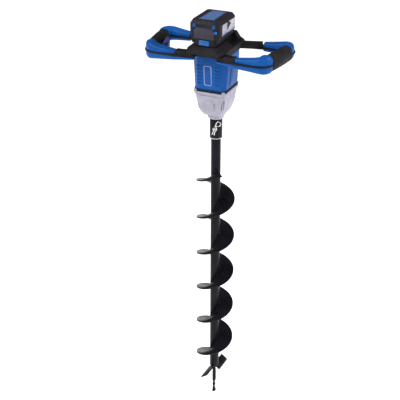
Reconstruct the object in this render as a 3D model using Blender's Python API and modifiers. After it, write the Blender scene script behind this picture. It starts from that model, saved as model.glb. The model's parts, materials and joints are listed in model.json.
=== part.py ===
"""Cordless earth auger: a two-handled power head, its battery and the drill that hangs below it.

Sizes are in millimetres. The origin is on the spindle's axis, midway between the hands. X runs across the
handles, Y from the front (battery release) to the back, and Z up the spindle.
"""

from math import atan2, cos, pi, radians, sin, sqrt, tan

import bmesh
import bpy
from mathutils import Matrix, Vector

MM = 0.001
GAP = 0.3            # between pieces that only touch
RUNNING = 0.6        # between a turning piece and a fixed one
FIT = 0.08           # round a shaft in its own bore
WALL = 2.8           # moulded shells
SIDES = 24           # round pieces

# Handles: a flat frame with a closed loop each side, held between blue corner shells
FRAME_HALF = 2.0                     # half thickness of the flange between the shells
ARM_TOP = 12.0                       # top of the bare arms and of the hub
ARM_HALF_WIDTH = 14.0
FLANGE_PROUD = 1.6
FRONT_CORNER, BACK_CORNER = (148.0, -64.0), (167.0, 71.0)
CORNER_RADIUS = 16.5
GRIP_FRONT, GRIP_BACK = 15.5, 27.0   # from each corner along the handle
FRONT_ARM_Y, BACK_ARM_Y = -66.0, 68.0
FRONT_NOSE_X, BACK_NOSE_X = 77.0, 98.0
SHELL_TOP, SHELL_NOSE_TOP = 25.0, 11.0
SHELL_DEPTH, SHELL_ROOT_DEPTH = 22.0, 9.0
REAR_SHELL_TOP, REAR_SHELL_DEPTH = 22.0, 15.0
GRIP_HALF_WIDTH, GRIP_HALF_HEIGHT, GRIP_WALL = 18.0, 21.0, 3.5

# Finger levers, from the grip's front end: start, length, underside, top, stand off the grip, reach
TRIGGER = (5.0, 50.0, -6.0, 14.0, 8.5, 17.0)
SAFETY = (2.0, 34.0, -13.0, 3.0, 6.0, 12.0)
LEVER_OFF = 1.5                      # gap to the grip at the hinge
LUG_HALF, LUG_LENGTH, LUG_ROOM = 1.9, 9.0, 0.8

# Hub and battery dock
HUB_HALF_WIDTH, HUB_FRONT, HUB_BACK = 46.0, -58.0, 64.0
WIRE_WAY = 15.0
DOCK_FRONT, DOCK_BACK = -88.0, 67.0
DOCK_FRONT_HALF, DOCK_HALF = 40.0, 50.0
DOCK_TOP = 29.5
LIP_HEIGHT = 6.0
WALL_PEAK, WALL_FRONT = 39.0, 31.0
RAIL_IN, RAIL_OUT, RAIL_FLANGE = 15.0, 18.0, 23.0
RAIL_STEM, RAIL_HEAD = 4.5, 4.0
RAIL_FRONT, RAIL_BACK = -52.0, 26.0
TERMINAL_HALF, TERMINAL_LENGTH = 11.0, 22.0

# Battery pack
BATTERY_HALF = 38.0
BATTERY_FRONT, BATTERY_BACK = -76.0, 28.0
BATTERY_BOTTOM, BATTERY_SPLIT, BATTERY_TOP = 30.0, 47.0, 92.0
BATTERY_FOOT, BATTERY_WAIST = 11.0, 54.0     # how far the sides draw in at the bottom, and from what height
BATTERY_CHAMFER = 9.0
CELL_RADIUS, CELL_PITCH = 9.2, 18.6
PANEL_HALF, PANEL_FRONT, PANEL_BACK, PANEL_THICK = 21.0, -60.0, 14.0, 1.6
LABEL_LOW, LABEL_HIGH, LABEL_FRONT, LABEL_BACK, LABEL_HALF = 55.0, 81.0, -56.0, 20.0, 0.6
RELEASE_HALF, RELEASE_LOW, RELEASE_HIGH, RELEASE_DEPTH = 13.0, 32.5, 45.0, 9.0
RELEASE_TRAVEL = 3.0
GAUGE_SIZE, GAUGE_X, GAUGE_Z, GAUGE_TRAVEL = 6.0, 30.0, 67.0, 1.0

# Motor housing and gearbox
HOUSING_TOP, HOUSING_SHOULDER, HOUSING_BOTTOM = -2.3, -15.0, -91.0
GASKET = 3.4
HOUSING_TOP_HALF, HOUSING_TOP_DEPTH, HOUSING_TOP_CHAMFER = 46.0, 51.0, 18.0
HOUSING_END_HALF, HOUSING_END_DEPTH, HOUSING_END_CHAMFER = 40.5, 45.5, 9.0
# Gearbox case below its joint: half width, half depth, corner and height of each ring
GEARBOX_RINGS = ((38.5, 43.5, 9.0, -112.0), (35.5, 40.5, 10.0, -134.0), (31.0, 36.5, 12.0, -150.0),
                 (27.0, 31.5, 15.0, -158.5), (22.5, 22.5, 22.5, -163.5), (21.5, 21.5, 21.5, -170.0))
GEARBOX_BOTTOM, COLLAR_RADIUS = -174.5, 19.0
GEARBOX_SCREW_X, GEARBOX_SCREW_Y, SCREW_RADIUS, SCREW_HEAD = 33.0, 37.0, 2.5, 4.4
BOSS_RADIUS = 5.1

# Motor
STATOR_RADIUS, STATOR_BORE, STATOR_TOP, STATOR_BOTTOM, STATOR_SLOTS = 32.0, 17.6, -34.0, -66.0, 12
ROTOR_RADIUS, SHAFT_RADIUS = 17.0, 4.0
SHAFT_TOP = -22.0
FAN_TOP, FAN_BOTTOM, FAN_RADIUS, FAN_BLADES = -72.0, -80.0, 27.0, 9
BEARING_HEIGHT, MOTOR_BEARING_RADIUS = 7.0, 11.0

# Two equal planetary stages in one ring gear
MODULE, PRESSURE = 0.9, radians(20)
SUN_TEETH, PLANET_TEETH = 12, 18
RING_TEETH = SUN_TEETH + 2 * PLANET_TEETH
ADDENDUM, DEDENDUM, BACKLASH = 0.8, 1.15, 0.12
RING_RADIUS, RING_TOP, RING_BOTTOM = 26.0, -99.0, -131.0
PLANET_PIN = 2.4
STAGE1_TOP, STAGE2_TOP, GEAR_HEIGHT, CARRIER_THICK = -100.5, -117.0, 9.0, 3.5
CARRIER_RADIUS = 18.5
PLATE_TOP, PLATE_THICK = -93.2, 4.0

# Output spindle, socket and drill
SPINDLE_RADIUS, OUTPUT_BEARING_RADIUS, OUTPUT_BEARING_TOP = 10.0, 17.0, -139.0
SEAL_TOP, SEAL_HEIGHT, SEAL_RADIUS = -165.0, 6.0, 15.0
SOCKET_RADIUS, SOCKET_TOP, SOCKET_BOTTOM, SOCKET_ROOF = 16.0, -175.5, -228.0, 8.0
PIN_Z, PIN_RADIUS, PIN_STAND, PIN_HEAD = -197.0, 4.0, 9.0, 6.5
PIN_TURN = radians(-78)
CLIP_WIRE, CLIP_LENGTH, CLIP_EYE = 1.4, 40.0, 6.0
SHAFT = 12.5
SHAFT_END = -927.0
CONE_END = SHAFT_END - 8.0
TIP = CONE_END - 87.0
DRILL_RADIUS, FLIGHT_PITCH, FLIGHT_THICK = 50.0, 106.9, 4.0
FLIGHT_TOP, FLIGHT_BOTTOM = -315.5, SHAFT_END + 12.0
FLIGHT_START = radians(26.7)         # where the flight's middle passes FLIGHT_ZERO
FLIGHT_ZERO = -400.2
# Blades: reach past the flight, width, how far the top edge stands ahead of the radius, thickness, slope, height
BLADE_OVER, BLADE_WIDTH, BLADE_AHEAD, BLADE_THICK = 4.0, 24.0, 3.6, 4.0
BLADE_OUT = DRILL_RADIUS + BLADE_OVER
BLADE_SLOPE, BLADE_Z, BLADE_LAG = radians(36), SHAFT_END - 2.6, radians(5)
PILOT_RADIUS, PILOT_TWIST = 5.8, 2.0

BLUE, BLACK, RUBBER = (0.02, 0.13, 0.48), (0.02, 0.019, 0.021), (0.03, 0.03, 0.033)
CHARCOAL, GREY, STEEL = (0.04, 0.04, 0.05), (0.42, 0.40, 0.44), (0.55, 0.55, 0.56)
PANEL_BLUE, SILVER, BRASS, COPPER = (0.06, 0.2, 0.5), (0.6, 0.62, 0.68), (0.7, 0.55, 0.25), (0.6, 0.25, 0.1)


# ---------------------------------------------------------------- scene and small tools

for old in list(bpy.data.objects):
    bpy.data.objects.remove(old, do_unlink=True)
PARTS = bpy.data.collections.new("earth_auger")
TOOLS = bpy.data.collections.new("cutters")
for group in (PARTS, TOOLS):
    bpy.context.scene.collection.children.link(group)
TOOLS.hide_render = True


def finish(obj, name, colour=None, roughness=0.5, metallic=0.0):
    """Names an object, gives it its own material and puts it with the parts, or with the cutters."""
    obj.name = obj.data.name = name
    for collection in list(obj.users_collection):
        collection.objects.unlink(obj)
    if colour is None:
        TOOLS.objects.link(obj)
        obj.hide_render = True
        obj.display_type = "WIRE"
        return obj
    PARTS.objects.link(obj)
    material = bpy.data.materials.new(name)
    material.use_nodes = True
    shader = material.node_tree.nodes["Principled BSDF"]
    shader.inputs["Base Color"].default_value = (*colour, 1)
    shader.inputs["Roughness"].default_value = roughness
    shader.inputs["Metallic"].default_value = metallic
    obj.data.materials.clear()
    obj.data.materials.append(material)
    obj.data.shade_smooth()
    obj.data.set_sharp_from_angle(angle=radians(32))
    return obj


def mesh_object(build):
    """A new mesh object in metres from a bmesh in millimetres."""
    bmesh.ops.scale(build, vec=(MM, MM, MM), verts=build.verts)
    mesh = bpy.data.meshes.new("shape")
    build.to_mesh(mesh)
    build.free()
    obj = bpy.data.objects.new("shape", mesh)
    bpy.context.scene.collection.objects.link(obj)
    return obj


def block(low, high):
    """A box between two corners."""
    build = bmesh.new()
    bmesh.ops.create_cube(build, size=1)
    low, high = Vector(low), Vector(high)
    bmesh.ops.scale(build, vec=high - low, verts=build.verts)
    bmesh.ops.translate(build, vec=(low + high) / 2, verts=build.verts)
    return mesh_object(build)


def rod(start, end, radius, sides=SIDES):
    """A cylinder between two points."""
    start, end = Vector(start), Vector(end)
    build = bmesh.new()
    bmesh.ops.create_cone(build, cap_ends=True, segments=sides, radius1=radius, radius2=radius,
                          depth=(end - start).length)
    turn = (end - start).to_track_quat("Z", "Y").to_matrix().to_4x4()
    bmesh.ops.transform(build, matrix=Matrix.Translation((start + end) / 2) @ turn, verts=build.verts)
    return mesh_object(build)


def turned(profile, sides=SIDES):
    """A turned piece: its (radius, height) profile runs down the outside, top to bottom, and back up a bore."""
    build = bmesh.new()
    points = [build.verts.new((radius, 0, height)) for radius, height in profile]
    ends = zip(points, points[1:] + points[:1])
    on_axis = profile[0][0] == 0 and profile[-1][0] == 0
    for first, second in list(ends)[:-1 if on_axis else None]:
        build.edges.new((first, second))
    obj = mesh_object(build)
    screw = obj.modifiers.new("turn", "SCREW")
    screw.steps = screw.render_steps = sides
    screw.use_merge_vertices = True
    screw.merge_threshold = 0.00002
    return obj


def plate(outlines, low, high):
    """Flat outlines, the first solid and the others holes, between two heights."""
    curve = bpy.data.curves.new("outline", "CURVE")
    curve.dimensions = "2D"
    curve.fill_mode = "BOTH"
    curve.extrude = (high - low) / 2 * MM
    for points in outlines:
        spline = curve.splines.new("POLY")
        spline.points.add(len(points) - 1)
        spline.use_cyclic_u = True
        for point, (x, y) in zip(spline.points, points):
            point.co = (x * MM, y * MM, 0, 1)
    drawn = bpy.data.objects.new("outline", curve)
    bpy.context.scene.collection.objects.link(drawn)
    return curve_to_mesh(drawn, (0, 0, (low + high) / 2 * MM))


def curve_to_mesh(drawn, place=(0, 0, 0)):
    """A curve's solid as a mesh object, with its caps welded on."""
    bpy.context.view_layer.update()
    graph = bpy.context.evaluated_depsgraph_get()
    mesh = bpy.data.meshes.new_from_object(drawn.evaluated_get(graph))
    build = bmesh.new()
    build.from_mesh(mesh)
    bmesh.ops.remove_doubles(build, verts=build.verts, dist=1e-6)
    bmesh.ops.recalc_face_normals(build, faces=build.faces)
    bmesh.ops.translate(build, vec=place, verts=build.verts)
    build.to_mesh(mesh)
    build.free()
    obj = bpy.data.objects.new("shape", mesh)
    obj.matrix_world = drawn.matrix_world
    bpy.context.scene.collection.objects.link(obj)
    bpy.data.objects.remove(drawn, do_unlink=True)
    return obj


def wire(points, radius, resolution=2):
    """A round wire through points."""
    curve = bpy.data.curves.new("wire", "CURVE")
    curve.dimensions = "3D"
    curve.bevel_depth = radius * MM
    curve.bevel_resolution = resolution
    curve.use_fill_caps = True
    spline = curve.splines.new("POLY")
    spline.points.add(len(points) - 1)
    for point, place in zip(spline.points, points):
        point.co = (*(Vector(place) * MM), 1)
    drawn = bpy.data.objects.new("wire", curve)
    bpy.context.scene.collection.objects.link(drawn)
    return curve_to_mesh(drawn)


def loft(rings, closed=True):
    """A skin through rings of equally many points, with end faces unless it is left open."""
    build = bmesh.new()
    rows = [[build.verts.new(point) for point in ring] for ring in rings]
    count = len(rows[0])
    for first, second in zip(rows, rows[1:]):
        for i in range(count):
            j = (i + 1) % count
            build.faces.new((first[i], first[j], second[j], second[i]))
    if closed:
        build.faces.new(rows[0])
        build.faces.new(rows[-1])
    bmesh.ops.recalc_face_normals(build, faces=build.faces)
    return mesh_object(build)


def bore(radius, clearance=FIT, sides=SIDES):
    """The corner radius of a many-sided bore that clears a round piece."""
    return (radius + clearance) / cos(pi / sides)


def circle(radius, sides=SIDES, centre=(0, 0)):
    """Points on a circle."""
    turns = [2 * pi * i / sides for i in range(sides)]
    return [(centre[0] + radius * cos(t), centre[1] + radius * sin(t)) for t in turns]


def rounded(half, depth, corner, z, steps=1, middle=0.0):
    """A ring at one height: a rectangle whose corners are arcs of a few steps, or chamfers with one step."""
    ring = []
    for quarter, (sx, sy) in enumerate(((1, 1), (-1, 1), (-1, -1), (1, -1))):
        for i in range(steps + 1):
            t = (quarter + i / steps) * pi / 2
            x = sx * (half - corner) + corner * cos(t)
            y = sy * (depth - corner) + corner * sin(t)
            ring.append((x, middle + y, z))
    return ring


def boolean(obj, tool, operation):
    """Cuts, joins or keeps an object with a tool, which then hides among the cutters."""
    modifier = obj.modifiers.new(operation.lower(), "BOOLEAN")
    modifier.operation = operation
    modifier.object = tool
    modifier.solver = "EXACT"
    if tool.name not in TOOLS.objects:
        finish(tool, "cutter")
    return obj


def cut(obj, *tools):
    for tool in tools:
        boolean(obj, tool, "DIFFERENCE")
    return obj


def join(obj, *tools):
    for tool in tools:
        boolean(obj, tool, "UNION")
    return obj


def bevel(obj, width, segments=2, angle=40):
    """Rounds every edge sharper than an angle."""
    modifier = obj.modifiers.new("bevel", "BEVEL")
    modifier.width = width * MM
    modifier.segments = segments
    modifier.limit_method = "ANGLE"
    modifier.angle_limit = radians(angle)
    return obj


def body(name, place=(0, 0, 0)):
    """An empty on a joint's axis, for the pieces that move together."""
    empty = bpy.data.objects.new(name, None)
    empty.location = Vector(place) * MM
    PARTS.objects.link(empty)
    bpy.context.view_layer.update()
    return empty


def hold(empty, *pieces):
    """Parents pieces to a moving body and leaves them where they are."""
    for piece in pieces:
        piece.parent = empty
        piece.matrix_parent_inverse = empty.matrix_world.inverted()


# ---------------------------------------------------------------- handles

def arc_corner(before, corner, after, radius, steps=4):
    """Points round a corner of a level path."""
    corner, before, after = Vector(corner), Vector(before), Vector(after)
    a, b = (before - corner).normalized(), (after - corner).normalized()
    half = a.angle(b) / 2
    centre = corner + (a + b).normalized() * radius / sin(half)
    start = (corner + a * radius / tan(half) - centre).normalized()
    end = (corner + b * radius / tan(half) - centre).normalized()
    return [centre + start.slerp(end, i / steps) * radius for i in range(steps + 1)]


def arm_path(side):
    """The handle's centre line in four runs: front arm to corner, grip, back corner, and the bare back arm."""
    mirror = Vector((side, 1, 1))
    front, back = Vector((*FRONT_CORNER, 0)), Vector((*BACK_CORNER, 0))
    along = (back - front).normalized()
    grip = [front + along * GRIP_FRONT, back - along * GRIP_BACK]
    root = [Vector((HUB_HALF_WIDTH - 14, FRONT_ARM_Y + 6, 0)), Vector((FRONT_NOSE_X - 12, FRONT_ARM_Y, 0))]
    nose = [Vector((FRONT_NOSE_X, FRONT_ARM_Y, 0)), Vector((112, FRONT_ARM_Y + 0.5, 0))]
    first = nose + arc_corner(nose[1], front, back, CORNER_RADIUS)
    far = [Vector((132, BACK_ARM_Y + 1.5, 0)), Vector((BACK_NOSE_X, BACK_ARM_Y, 0))]
    second = arc_corner(front, back, far[0], CORNER_RADIUS) + far
    bare = [Vector((70, BACK_ARM_Y - 8, 0)), Vector((HUB_HALF_WIDTH - 14, BACK_ARM_Y - 18, 0))]
    return [[point * mirror for point in run] for run in (root, first, grip, second, bare)]


def across(path, i):
    """The sideways unit vector of a level path at one of its points, mitred."""
    before, here, after = path[max(i - 1, 0)], path[i], path[min(i + 1, len(path) - 1)]
    a = (here - before).normalized() if here != before else (after - here).normalized()
    b = (after - here).normalized() if after != here else a
    way = (a + b).normalized()
    return Vector((-way.y, way.x, 0)) / way.dot(a)


def sweep(path, section, closed=True):
    """Rings of section(i) points (sideways, up) set across a path."""
    rings = []
    for i, place in enumerate(path):
        side = across(path, i)
        rings.append([place + side * u + Vector((0, 0, v)) for u, v in section(i)])
    return loft(rings, closed)


def half_shell(path, heights, widths, sign):
    """Half a tube along a path, open at the seam, with a wall put on inwards and closed ends."""
    profile = [(-1, 0), (-1, 0.45), (-0.86, 0.8), (-0.5, 0.97), (0.5, 0.97), (0.86, 0.8), (1, 0.45), (1, 0)]
    start = FRAME_HALF + GAP
    build = bmesh.new()
    rows = []
    for i, place in enumerate(path):
        side = across(path, i)
        rows.append([build.verts.new(place + side * u * widths[i]
                                     + Vector((0, 0, sign * (start + v * (heights[i] - start)))))
                     for u, v in profile])
    for first, second in zip(rows, rows[1:]):
        for k in range(len(profile) - 1):
            build.faces.new((first[k], first[k + 1], second[k + 1], second[k]))
    build.faces.new(rows[0])
    build.faces.new(rows[-1])
    bmesh.ops.recalc_face_normals(build, faces=build.faces)
    top = max(build.faces, key=lambda face: abs(face.calc_center_median().z))
    if top.normal.z * sign < 0:
        bmesh.ops.reverse_faces(build, faces=build.faces)
    obj = mesh_object(build)
    wall = obj.modifiers.new("wall", "SOLIDIFY")
    wall.thickness = WALL * MM
    wall.offset = -1
    return obj


def spread(values, count):
    """Values taken evenly along a list, for a path with more points."""
    out = []
    for i in range(count):
        place = i / (count - 1) * (len(values) - 1)
        low = min(int(place), len(values) - 2)
        out.append(values[low] + (values[low + 1] - values[low]) * (place - low))
    return out


def handle_pieces(side, word):
    """The four corner shells and the grip of one handle."""
    root, front, grip_line, back, _ = arm_path(side)
    along = (grip_line[1] - grip_line[0]).normalized()
    wide = ARM_HALF_WIDTH
    front = front + [grip_line[0] - along * GAP]
    widths = [wide - 4] + [wide] * (len(front) - 1)
    heights = spread([SHELL_NOSE_TOP, 18, SHELL_TOP, SHELL_TOP, SHELL_TOP - 3], len(front))
    upper = half_shell(front, heights, widths, 1)
    finish(upper, f"{word}_front_upper_shell", BLUE, 0.4)
    whole = root + front
    depths = spread([SHELL_ROOT_DEPTH, 13, 19, SHELL_DEPTH, SHELL_DEPTH, SHELL_DEPTH - 2], len(whole))
    lower = half_shell(whole, depths, [wide] * len(whole), -1)
    cut(lower, motor_housing_skin(GAP))
    finish(lower, f"{word}_front_lower_shell", BLUE, 0.4)
    back = [grip_line[1] + along * GAP] + back
    widths = [wide] * (len(back) - 1) + [wide - 3]
    rear = half_shell(back, spread([21, REAR_SHELL_TOP, REAR_SHELL_TOP, 20, 13], len(back)), widths, 1)
    finish(rear, f"{word}_rear_upper_shell", BLUE, 0.4)
    rear = half_shell(back, spread([18, REAR_SHELL_DEPTH, REAR_SHELL_DEPTH, 13, 9], len(back)), widths, -1)
    finish(rear, f"{word}_rear_lower_shell", BLUE, 0.4)

    ring = [(GRIP_HALF_WIDTH * cos(t), GRIP_HALF_HEIGHT * sin(t)) for t in (2 * pi * i / 16 for i in range(16))]
    swell = [0.9, 0.98, 1.0, 0.98, 0.9]
    spots = [grip_line[0].lerp(grip_line[1], i / 4) for i in range(5)]
    grip = sweep(spots, lambda i: [(u * swell[i], v * swell[i]) for u, v in ring], closed=False)
    wall = grip.modifiers.new("wall", "SOLIDIFY")
    wall.thickness = GRIP_WALL * MM
    wall.offset = -1
    cut(grip, hinge_lug(side, GAP))
    finish(grip, f"{word}_grip", RUBBER, 0.75)


def flange_outline(side):
    """One handle's flange in plan: its outer edge, and the hand opening's edge."""
    root, front, grip_line, back, bare = arm_path(side)
    path = root + front + grip_line + back + bare
    wide = ARM_HALF_WIDTH + FLANGE_PROUD
    thin = GRIP_HALF_WIDTH - GRIP_WALL - 4
    narrow = (grip_line[0], grip_line[1])
    outer, inner = [], []
    for i, place in enumerate(path):
        half = thin if place in narrow else wide if place in front + back else ARM_HALF_WIDTH - 2
        outer.append(place - across(path, i) * half * side)
        inner.append(place + across(path, i) * half * side)
    return [(p.x, p.y) for p in outer], [(p.x, p.y) for p in inner]


def handle_frame():
    """The black frame: a hub under the dock, four bare arms and the flanges that the shells close on."""
    x, front, back = HUB_HALF_WIDTH, HUB_FRONT, HUB_BACK
    deep, middle = (back - front) / 2, (back + front) / 2
    hub = loft([rounded(x, deep, 8, z, 2, middle) for z in (-FRAME_HALF + 0.3, ARM_TOP)])
    for side in (-1, 1):
        outer, inner = flange_outline(side)
        join(hub, plate([outer + inner[::-1]], -FRAME_HALF, FRAME_HALF))
        root, first, _, second, bare = arm_path(side)
        arm = [(-12, -1), (12, -1), (12, ARM_TOP - 4), (9, ARM_TOP - 0.5),
               (-9, ARM_TOP - 0.5), (-12, ARM_TOP - 4)]
        gap = Vector((side * GAP, 0, 0))
        join(hub, sweep([root[0], root[1], first[0] - gap], lambda i: arm))
        join(hub, sweep([second[-1] - gap * 16, bare[0], bare[1]], lambda i: arm))
        join(hub, hinge_lug(side))
    cut(hub, block((-WIRE_WAY, -WIRE_WAY, -9), (WIRE_WAY, WIRE_WAY, ARM_TOP + 3)))
    return finish(hub, "handle_frame", BLACK, 0.55)


def lever_place(side):
    """A lever's free end and its hinge end on the grip's inner face, with its sizes."""
    sizes = TRIGGER if side < 0 else SAFETY
    grip_line = arm_path(side)[2]
    along = (grip_line[1] - grip_line[0]).normalized()
    inwards = Vector((side * (GRIP_HALF_WIDTH + LEVER_OFF), 0, 0))
    free = grip_line[0] + along * sizes[0] - inwards
    return free, free + along * sizes[1], sizes[2:]


def hinge_lug(side, grow=0.0):
    """The frame's tongue that comes out through the grip and carries a lever."""
    _, end, _ = lever_place(side)
    xs = sorted((end.x - side * (6 + grow), end.x + side * (GRIP_HALF_WIDTH + LEVER_OFF)))
    high = LUG_HALF + grow
    return block((xs[0], end.y - LUG_LENGTH - grow, -high), (xs[1], end.y - 1 + grow, high))


def trigger(side, name):
    """A finger lever on the inner side of a grip, hinged at its back end on the frame's lug."""
    free, end, (low, top, stand, reach) = lever_place(side)
    length = end.y - free.y
    outline = [(free.x - side * (stand - LEVER_OFF), free.y), (free.x - side * reach * 0.75, free.y + 3),
               (free.x - side * reach, free.y + length * 0.25),
               (free.x - side * reach * 0.85, free.y + length * 0.55),
               (end.x - side * 11, end.y - 6), (end.x - side * 8, end.y), (end.x, end.y)]
    lever = bevel(loft([[(x, y, z) for x, y in outline] for z in (low, top)]), 1.5, 2)
    cut(lever, hinge_lug(side, LUG_ROOM))
    finish(lever, name, (0.14, 0.16, 0.55), 0.35)
    hold(body(f"{name}_axis", (end.x - side * 3, end.y - LUG_LENGTH / 2, 0)), lever)
    return lever


# ---------------------------------------------------------------- dock and battery

def battery_dock():
    """The sloping base with its front lip, rear wall and the two rails that the pack slides on."""
    base_z = ARM_TOP + GAP
    base = [(DOCK_FRONT_HALF, DOCK_FRONT), (DOCK_HALF, -60), (DOCK_HALF + 3, 50), (38, DOCK_BACK),
            (-38, DOCK_BACK), (-DOCK_HALF - 3, 50), (-DOCK_HALF, -60), (-DOCK_FRONT_HALF, DOCK_FRONT)]
    half = BATTERY_HALF - BATTERY_FOOT + 3
    top = [(half - 5, -76), (half, -68), (half, 36), (half - 5, 44),
           (5 - half, 44), (-half, 36), (-half, -68), (5 - half, -76)]
    dock = loft([[(x, y, base_z) for x, y in base], [(x, y, base_z + LIP_HEIGHT) for x, y in base],
                 [(x, y, DOCK_TOP) for x, y in top]])
    foot = [(48, 50), (36, 66), (-36, 66), (-48, 50), (-48, WALL_FRONT), (48, WALL_FRONT)]
    peak = [(36, 44), (30, 52), (-30, 52), (-36, 44), (-36, WALL_FRONT), (36, WALL_FRONT)]
    rear = loft([[(x, y, base_z + 4) for x, y in foot], [(x, y, WALL_PEAK) for x, y in peak]])
    join(dock, rear)
    for side in (-1, 1):
        xs = sorted((side * RAIL_IN, side * RAIL_OUT))
        join(dock, block((xs[0], RAIL_FRONT, DOCK_TOP - 2), (xs[1], RAIL_BACK, DOCK_TOP + RAIL_STEM + 1)))
        xs = sorted((side * RAIL_IN, side * RAIL_FLANGE))
        head = DOCK_TOP + RAIL_STEM
        join(dock, block((xs[0], RAIL_FRONT, head), (xs[1], RAIL_BACK, head + RAIL_HEAD)))
    cut(dock, block((-WIRE_WAY, -WIRE_WAY, 0), (WIRE_WAY, WIRE_WAY, DOCK_TOP - 3)))
    cut(dock, block((-6, -6, 0), (6, 6, DOCK_TOP + 5)))
    return finish(dock, "battery_dock", BLACK, 0.55)


def battery():
    """The slide-on pack: two case shells round the cells, with its panel, labels and buttons."""
    middle = (BATTERY_BACK + BATTERY_FRONT) / 2
    half, depth = BATTERY_HALF, (BATTERY_BACK - BATTERY_FRONT) / 2
    slot_top = DOCK_TOP + RAIL_STEM + RAIL_HEAD + RUNNING
    floor = slot_top + WALL
    share = (BATTERY_SPLIT - BATTERY_BOTTOM) / (BATTERY_WAIST - BATTERY_BOTTOM)
    seam_half = half - BATTERY_FOOT * (1 - share)
    lower = loft([rounded(half - BATTERY_FOOT, depth - 3, 6, BATTERY_BOTTOM, 2, middle),
                  rounded(seam_half, depth - 1, 6.5, BATTERY_SPLIT, 2, middle)])
    inside = loft([rounded(seam_half - WALL - 1.5, depth - WALL - 2, 5, z, 2, middle)
                   for z in (floor, BATTERY_SPLIT + 5)])
    stem = block((-RAIL_OUT - RUNNING, RAIL_FRONT - 4, BATTERY_BOTTOM - 3),
                 (RAIL_OUT + RUNNING, BATTERY_BACK + 5, slot_top))
    head = block((-RAIL_FLANGE - RUNNING, RAIL_FRONT - 4, DOCK_TOP + RAIL_STEM - RUNNING),
                 (RAIL_FLANGE + RUNNING, BATTERY_BACK + 5, slot_top))
    pocket = block((-RELEASE_HALF - GAP, BATTERY_FRONT - 5, RELEASE_LOW - GAP),
                   (RELEASE_HALF + GAP, BATTERY_FRONT + RELEASE_DEPTH + RELEASE_TRAVEL + GAP, RELEASE_HIGH + GAP))
    gauge_half = GAUGE_SIZE / 2
    gauge_hole = block((GAUGE_X - gauge_half - GAP, BATTERY_FRONT - 4, GAUGE_Z - gauge_half - GAP),
                       (GAUGE_X + gauge_half + GAP, BATTERY_FRONT + 7, GAUGE_Z + gauge_half + GAP))
    cut(lower, inside, stem, head, pocket)
    finish(lower, "battery_lower_case", CHARCOAL, 0.5)

    upper = loft([rounded(seam_half, depth - 1, 6.5, BATTERY_SPLIT + GAP, 2, middle),
                  rounded(half, depth, 7, BATTERY_WAIST, 2, middle),
                  rounded(half, depth, 7, BATTERY_TOP - BATTERY_CHAMFER, 2, middle),
                  rounded(half - 5, depth - 6, 6, BATTERY_TOP, 2, middle)])
    hollow = loft([rounded(seam_half - WALL - 1.5, depth - WALL - 2, 5, BATTERY_SPLIT - 2, 2, middle),
                   rounded(half - WALL - 2, depth - WALL - 1, 6, BATTERY_WAIST, 2, middle),
                   rounded(half - WALL - 2, depth - WALL - 1, 6, BATTERY_TOP - BATTERY_CHAMFER - 1, 2, middle),
                   rounded(half - WALL - 6, depth - WALL - 7, 5, BATTERY_TOP - WALL - 1, 2, middle)])
    seat = block((-PANEL_HALF, PANEL_FRONT, BATTERY_TOP - PANEL_THICK), (PANEL_HALF, PANEL_BACK, BATTERY_TOP + 3))
    cut(upper, hollow, seat, gauge_hole)
    finish(upper, "battery_upper_case", CHARCOAL, 0.5)

    panel = block((-PANEL_HALF + GAP, PANEL_FRONT + GAP, BATTERY_TOP - PANEL_THICK + 0.1),
                  (PANEL_HALF - GAP, PANEL_BACK - GAP, BATTERY_TOP + 0.4))
    finish(bevel(panel, 0.3, 1), "battery_top_panel", PANEL_BLUE, 0.35)
    labels = []
    for side, word in ((-1, "left"), (1, "right")):
        xs = sorted((side * (BATTERY_HALF - LABEL_HALF), side * (BATTERY_HALF + LABEL_HALF)))
        seat_x = sorted((side * (BATTERY_HALF - LABEL_HALF - 0.1), side * (BATTERY_HALF + 4)))
        cut(upper, block((seat_x[0], LABEL_FRONT - GAP, LABEL_LOW - GAP),
                         (seat_x[1], LABEL_BACK + GAP, LABEL_HIGH + GAP)))
        label = block((xs[0], LABEL_FRONT, LABEL_LOW), (xs[1], LABEL_BACK, LABEL_HIGH))
        labels.append(finish(label, f"battery_label_{word}", SILVER, 0.3))

    cells = None
    for row in range(2):
        for column in range(3):
            centre_x = (column - 1) * CELL_PITCH
            centre_z = floor + 1 + CELL_RADIUS + row * (CELL_PITCH - 0.6)
            cell = rod((centre_x, middle - 34, centre_z), (centre_x, middle + 34, centre_z), CELL_RADIUS, 16)
            if cells is None:
                cells = cell
            else:
                join(cells, cell)
    join(cells, block((-25, middle - 6, floor + 6), (25, middle + 6, floor + 32)))
    finish(cells, "battery_cell_pack", (0.1, 0.35, 0.2), 0.5)

    button = block((-RELEASE_HALF, BATTERY_FRONT - 0.5, RELEASE_LOW),
                   (RELEASE_HALF, BATTERY_FRONT + RELEASE_DEPTH, RELEASE_HIGH))
    finish(bevel(button, 1.2), "battery_release_button", (0.03, 0.15, 0.6), 0.35)
    gauge = block((GAUGE_X - gauge_half, BATTERY_FRONT - GAUGE_TRAVEL - 0.4, GAUGE_Z - gauge_half),
                  (GAUGE_X + gauge_half, BATTERY_FRONT + 3.5, GAUGE_Z + gauge_half))
    finish(bevel(gauge, 0.5), "battery_gauge_button", (0.03, 0.12, 0.55), 0.35)
    hold(body("battery_slide"), lower, upper, panel, cells, *labels)
    hold(body("release_slide"), button)
    hold(body("gauge_slide"), gauge)


# ---------------------------------------------------------------- motor housing and gearbox shells

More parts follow.
